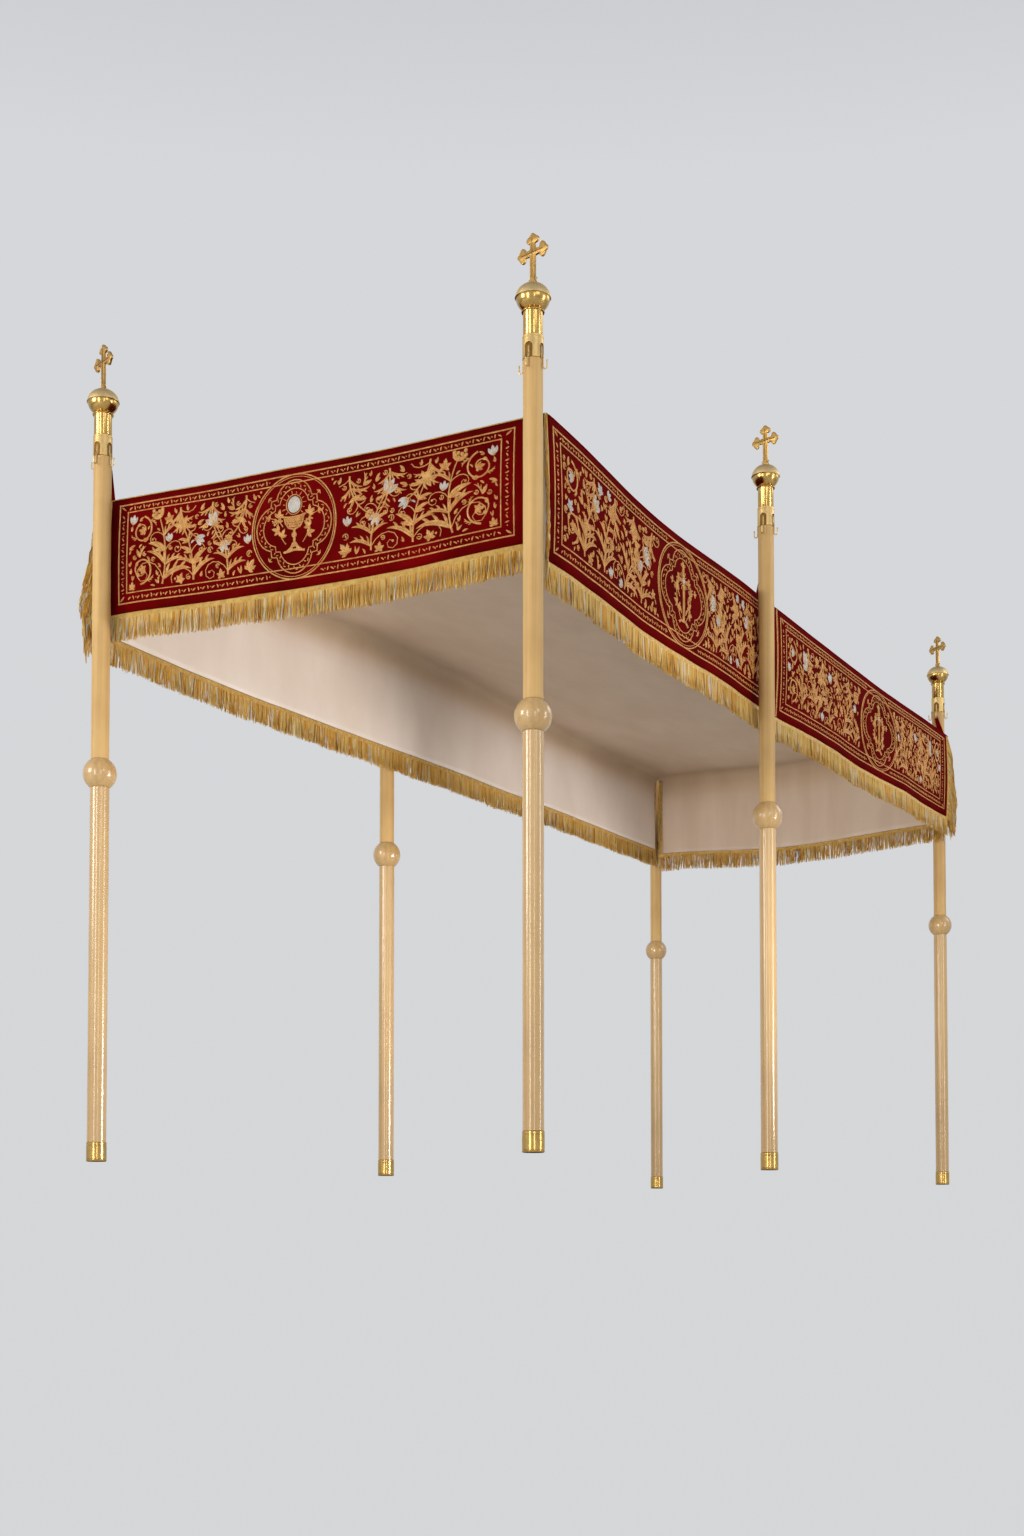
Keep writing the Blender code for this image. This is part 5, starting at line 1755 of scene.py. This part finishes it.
def make_lights():
    make_light("key", (5.6, -5.0, 3.2), (0.1, -0.6, 1.6), (1.8, 1.8), 34, (1.0, 0.95, 0.88))
    make_light("front", (-3.6, -6.6, 2.6), (-0.1, -1.6, 1.6), (1.6, 2.0), 150, (1.0, 0.95, 0.88))
    make_light("strip_near", (-0.1, -8.1, 1.4), (0.4, -1.0, 1.3), (0.45, 3.6), 100, (1.0, 0.98, 0.95))
    make_light("strip_side", (6.4, -0.4, 1.3), (0.4, -0.6, 1.3), (0.45, 3.4), 84, (1.0, 0.97, 0.93))
    make_light("strip_far", (5.7, -8.4, 1.4), (0.4, -1.0, 1.3), (0.30, 3.4), 60, (1.0, 0.98, 0.95))
    make_light("rim", (4.2, 3.4, 4.4), (0.4, 0.2, 2.0), (2.4, 2.4), 45, (1.0, 0.98, 0.96))
    make_spot("low_near", (3.4, -0.9, 0.45), (-0.75, -1.25, 0.87), 35, 400)
    make_spot("low_middle", (3.6, 1.5, 0.45), (-0.75, 0.85, 0.92), 30, 310)
    make_spot("low_back", (0.0, -5.6, 0.35), (0.0, 2.1, 1.25), 15.5, 550)


def make_camera():
    data = bpy.data.cameras.new("camera")
    data.lens = CAMERA_LENS
    data.shift_y = CAMERA_SHIFT
    data.clip_end = 100
    camera = bpy.data.objects.new("camera", data)
    bpy.context.scene.collection.objects.link(camera)
    camera.location = CAMERA_PLACE
    camera.rotation_euler = (radians(90 + CAMERA_PITCH), 0, radians(CAMERA_YAW))
    bpy.context.scene.camera = camera


def dress_side(side, materials, stitching):
    velvet = make_side(side, materials["velvet"])
    gold, silver = stitching
    # the long sides' embroidery takes a darker, more orange copy of the gold thread: painted shade
    pieces = [make_braid(side, materials["braid"]), make_fringe(side, materials["strand"]),
              gold.lay(f"embroidery_gold_{side}", side,
                       materials["gold" if KIND[side] == "short" else "painted_shade_gold"]),
              silver.lay(f"embroidery_silver_{side}", side, materials["silver"])]
    # the long sides' cord is the velvet at over twice its brightness: a painted highlight along their top
    # edge
    pieces.append(make_piping(side, materials["braid" if KIND[side] == "short" else "rim"]))


def make_materials():
    return {
        "lacquer": lacquer_material("glossy cream lacquer", 0.88, 1.0, 0.30, 0.45),
        "worn_lacquer": lacquer_material("worn cream lacquer", 0.99, 0.0, 0.50, 0.62),
        # painted reflection: the polished brass is deepened in colour as if it reflected dark surroundings
        "polished": brass_material("polished brass", 0.22, 0.24, (0.60, 0.385, 0.125), 0.0000012),
        "dome_brass": brass_material("matt brass", 0.46, 0.58, (0.80, 0.60, 0.30), 0.00014),
        # brass darkened as painted shade, inside the socket's niches and along the cross's grooves
        "recess_shade_brass": brass_material("brass darkened as painted shade", 0.40, 0.55, (0.20, 0.10, 0.025), 0.00006),
        "satin_brass": brass_material("satin brass", 0.36, 0.48, (0.76, 0.53, 0.22), 0.00012),
        "cross_brass": brass_material("cast brass", 0.30, 0.44, (0.62, 0.385, 0.125), 0.00005),
        "velvet": velvet_material(),
        # the velvet at over twice its brightness: a painted highlight on the long sides' top cord
        "rim": velvet_material("bright red cord", 2.1),
        "satin": satin_material(),
        "gold": thread_material("gold thread", (0.38, 0.105, 0.012), (0.85, 0.355, 0.072),
                                (1.0, 0.71, 0.28), 0.40, 620, 0.0005, 0.38,
                                (0.36, 0.13, 0.05)),
        # a darker, more orange copy of the gold thread for the long sides: painted shade
        "painted_shade_gold": thread_material("gold thread with painted shade", (0.34, 0.080, 0.008), (0.84, 0.305, 0.048),
                                     (1.0, 0.64, 0.22), 0.40, 620, 0.0005, 0.38,
                                     (0.34, 0.11, 0.04)),
        "silver": thread_material("silver thread", (0.38, 0.31, 0.23), (0.66, 0.61, 0.54),
                                  (0.86, 0.84, 0.80), 0.20, 620, 0.0005, 0.45,
                                  (0.46, 0.30, 0.18)),
        "braid": thread_material("gold braid", (0.52, 0.26, 0.030), (0.88, 0.52, 0.115),
                                 (1.0, 0.72, 0.26), 0.25, 400, 0.0009, 0.48),
        "strand": strand_material(),
    }


def main():
    bpy.context.scene.view_settings.view_transform = "Standard"
    materials = make_materials()
    meshes = stave_meshes(materials)
    cross = cross_meshes(materials["cross_brass"], materials["recess_shade_brass"])
    make_roof(materials["velvet"])
    make_lining(materials["satin"])
    for stave in STAVES:
        make_stave(stave, meshes, cross)
        make_strap(stave, materials["velvet"], materials["braid"], materials["satin_brass"])
    for sides in (("front",), ("back",), ("left", "right")):
        stitching = stitch_panels(sides[0])
        for side in sides:
            dress_side(side, materials, stitching)
    make_floor()
    make_world()
    make_lights()
    make_camera()


main()
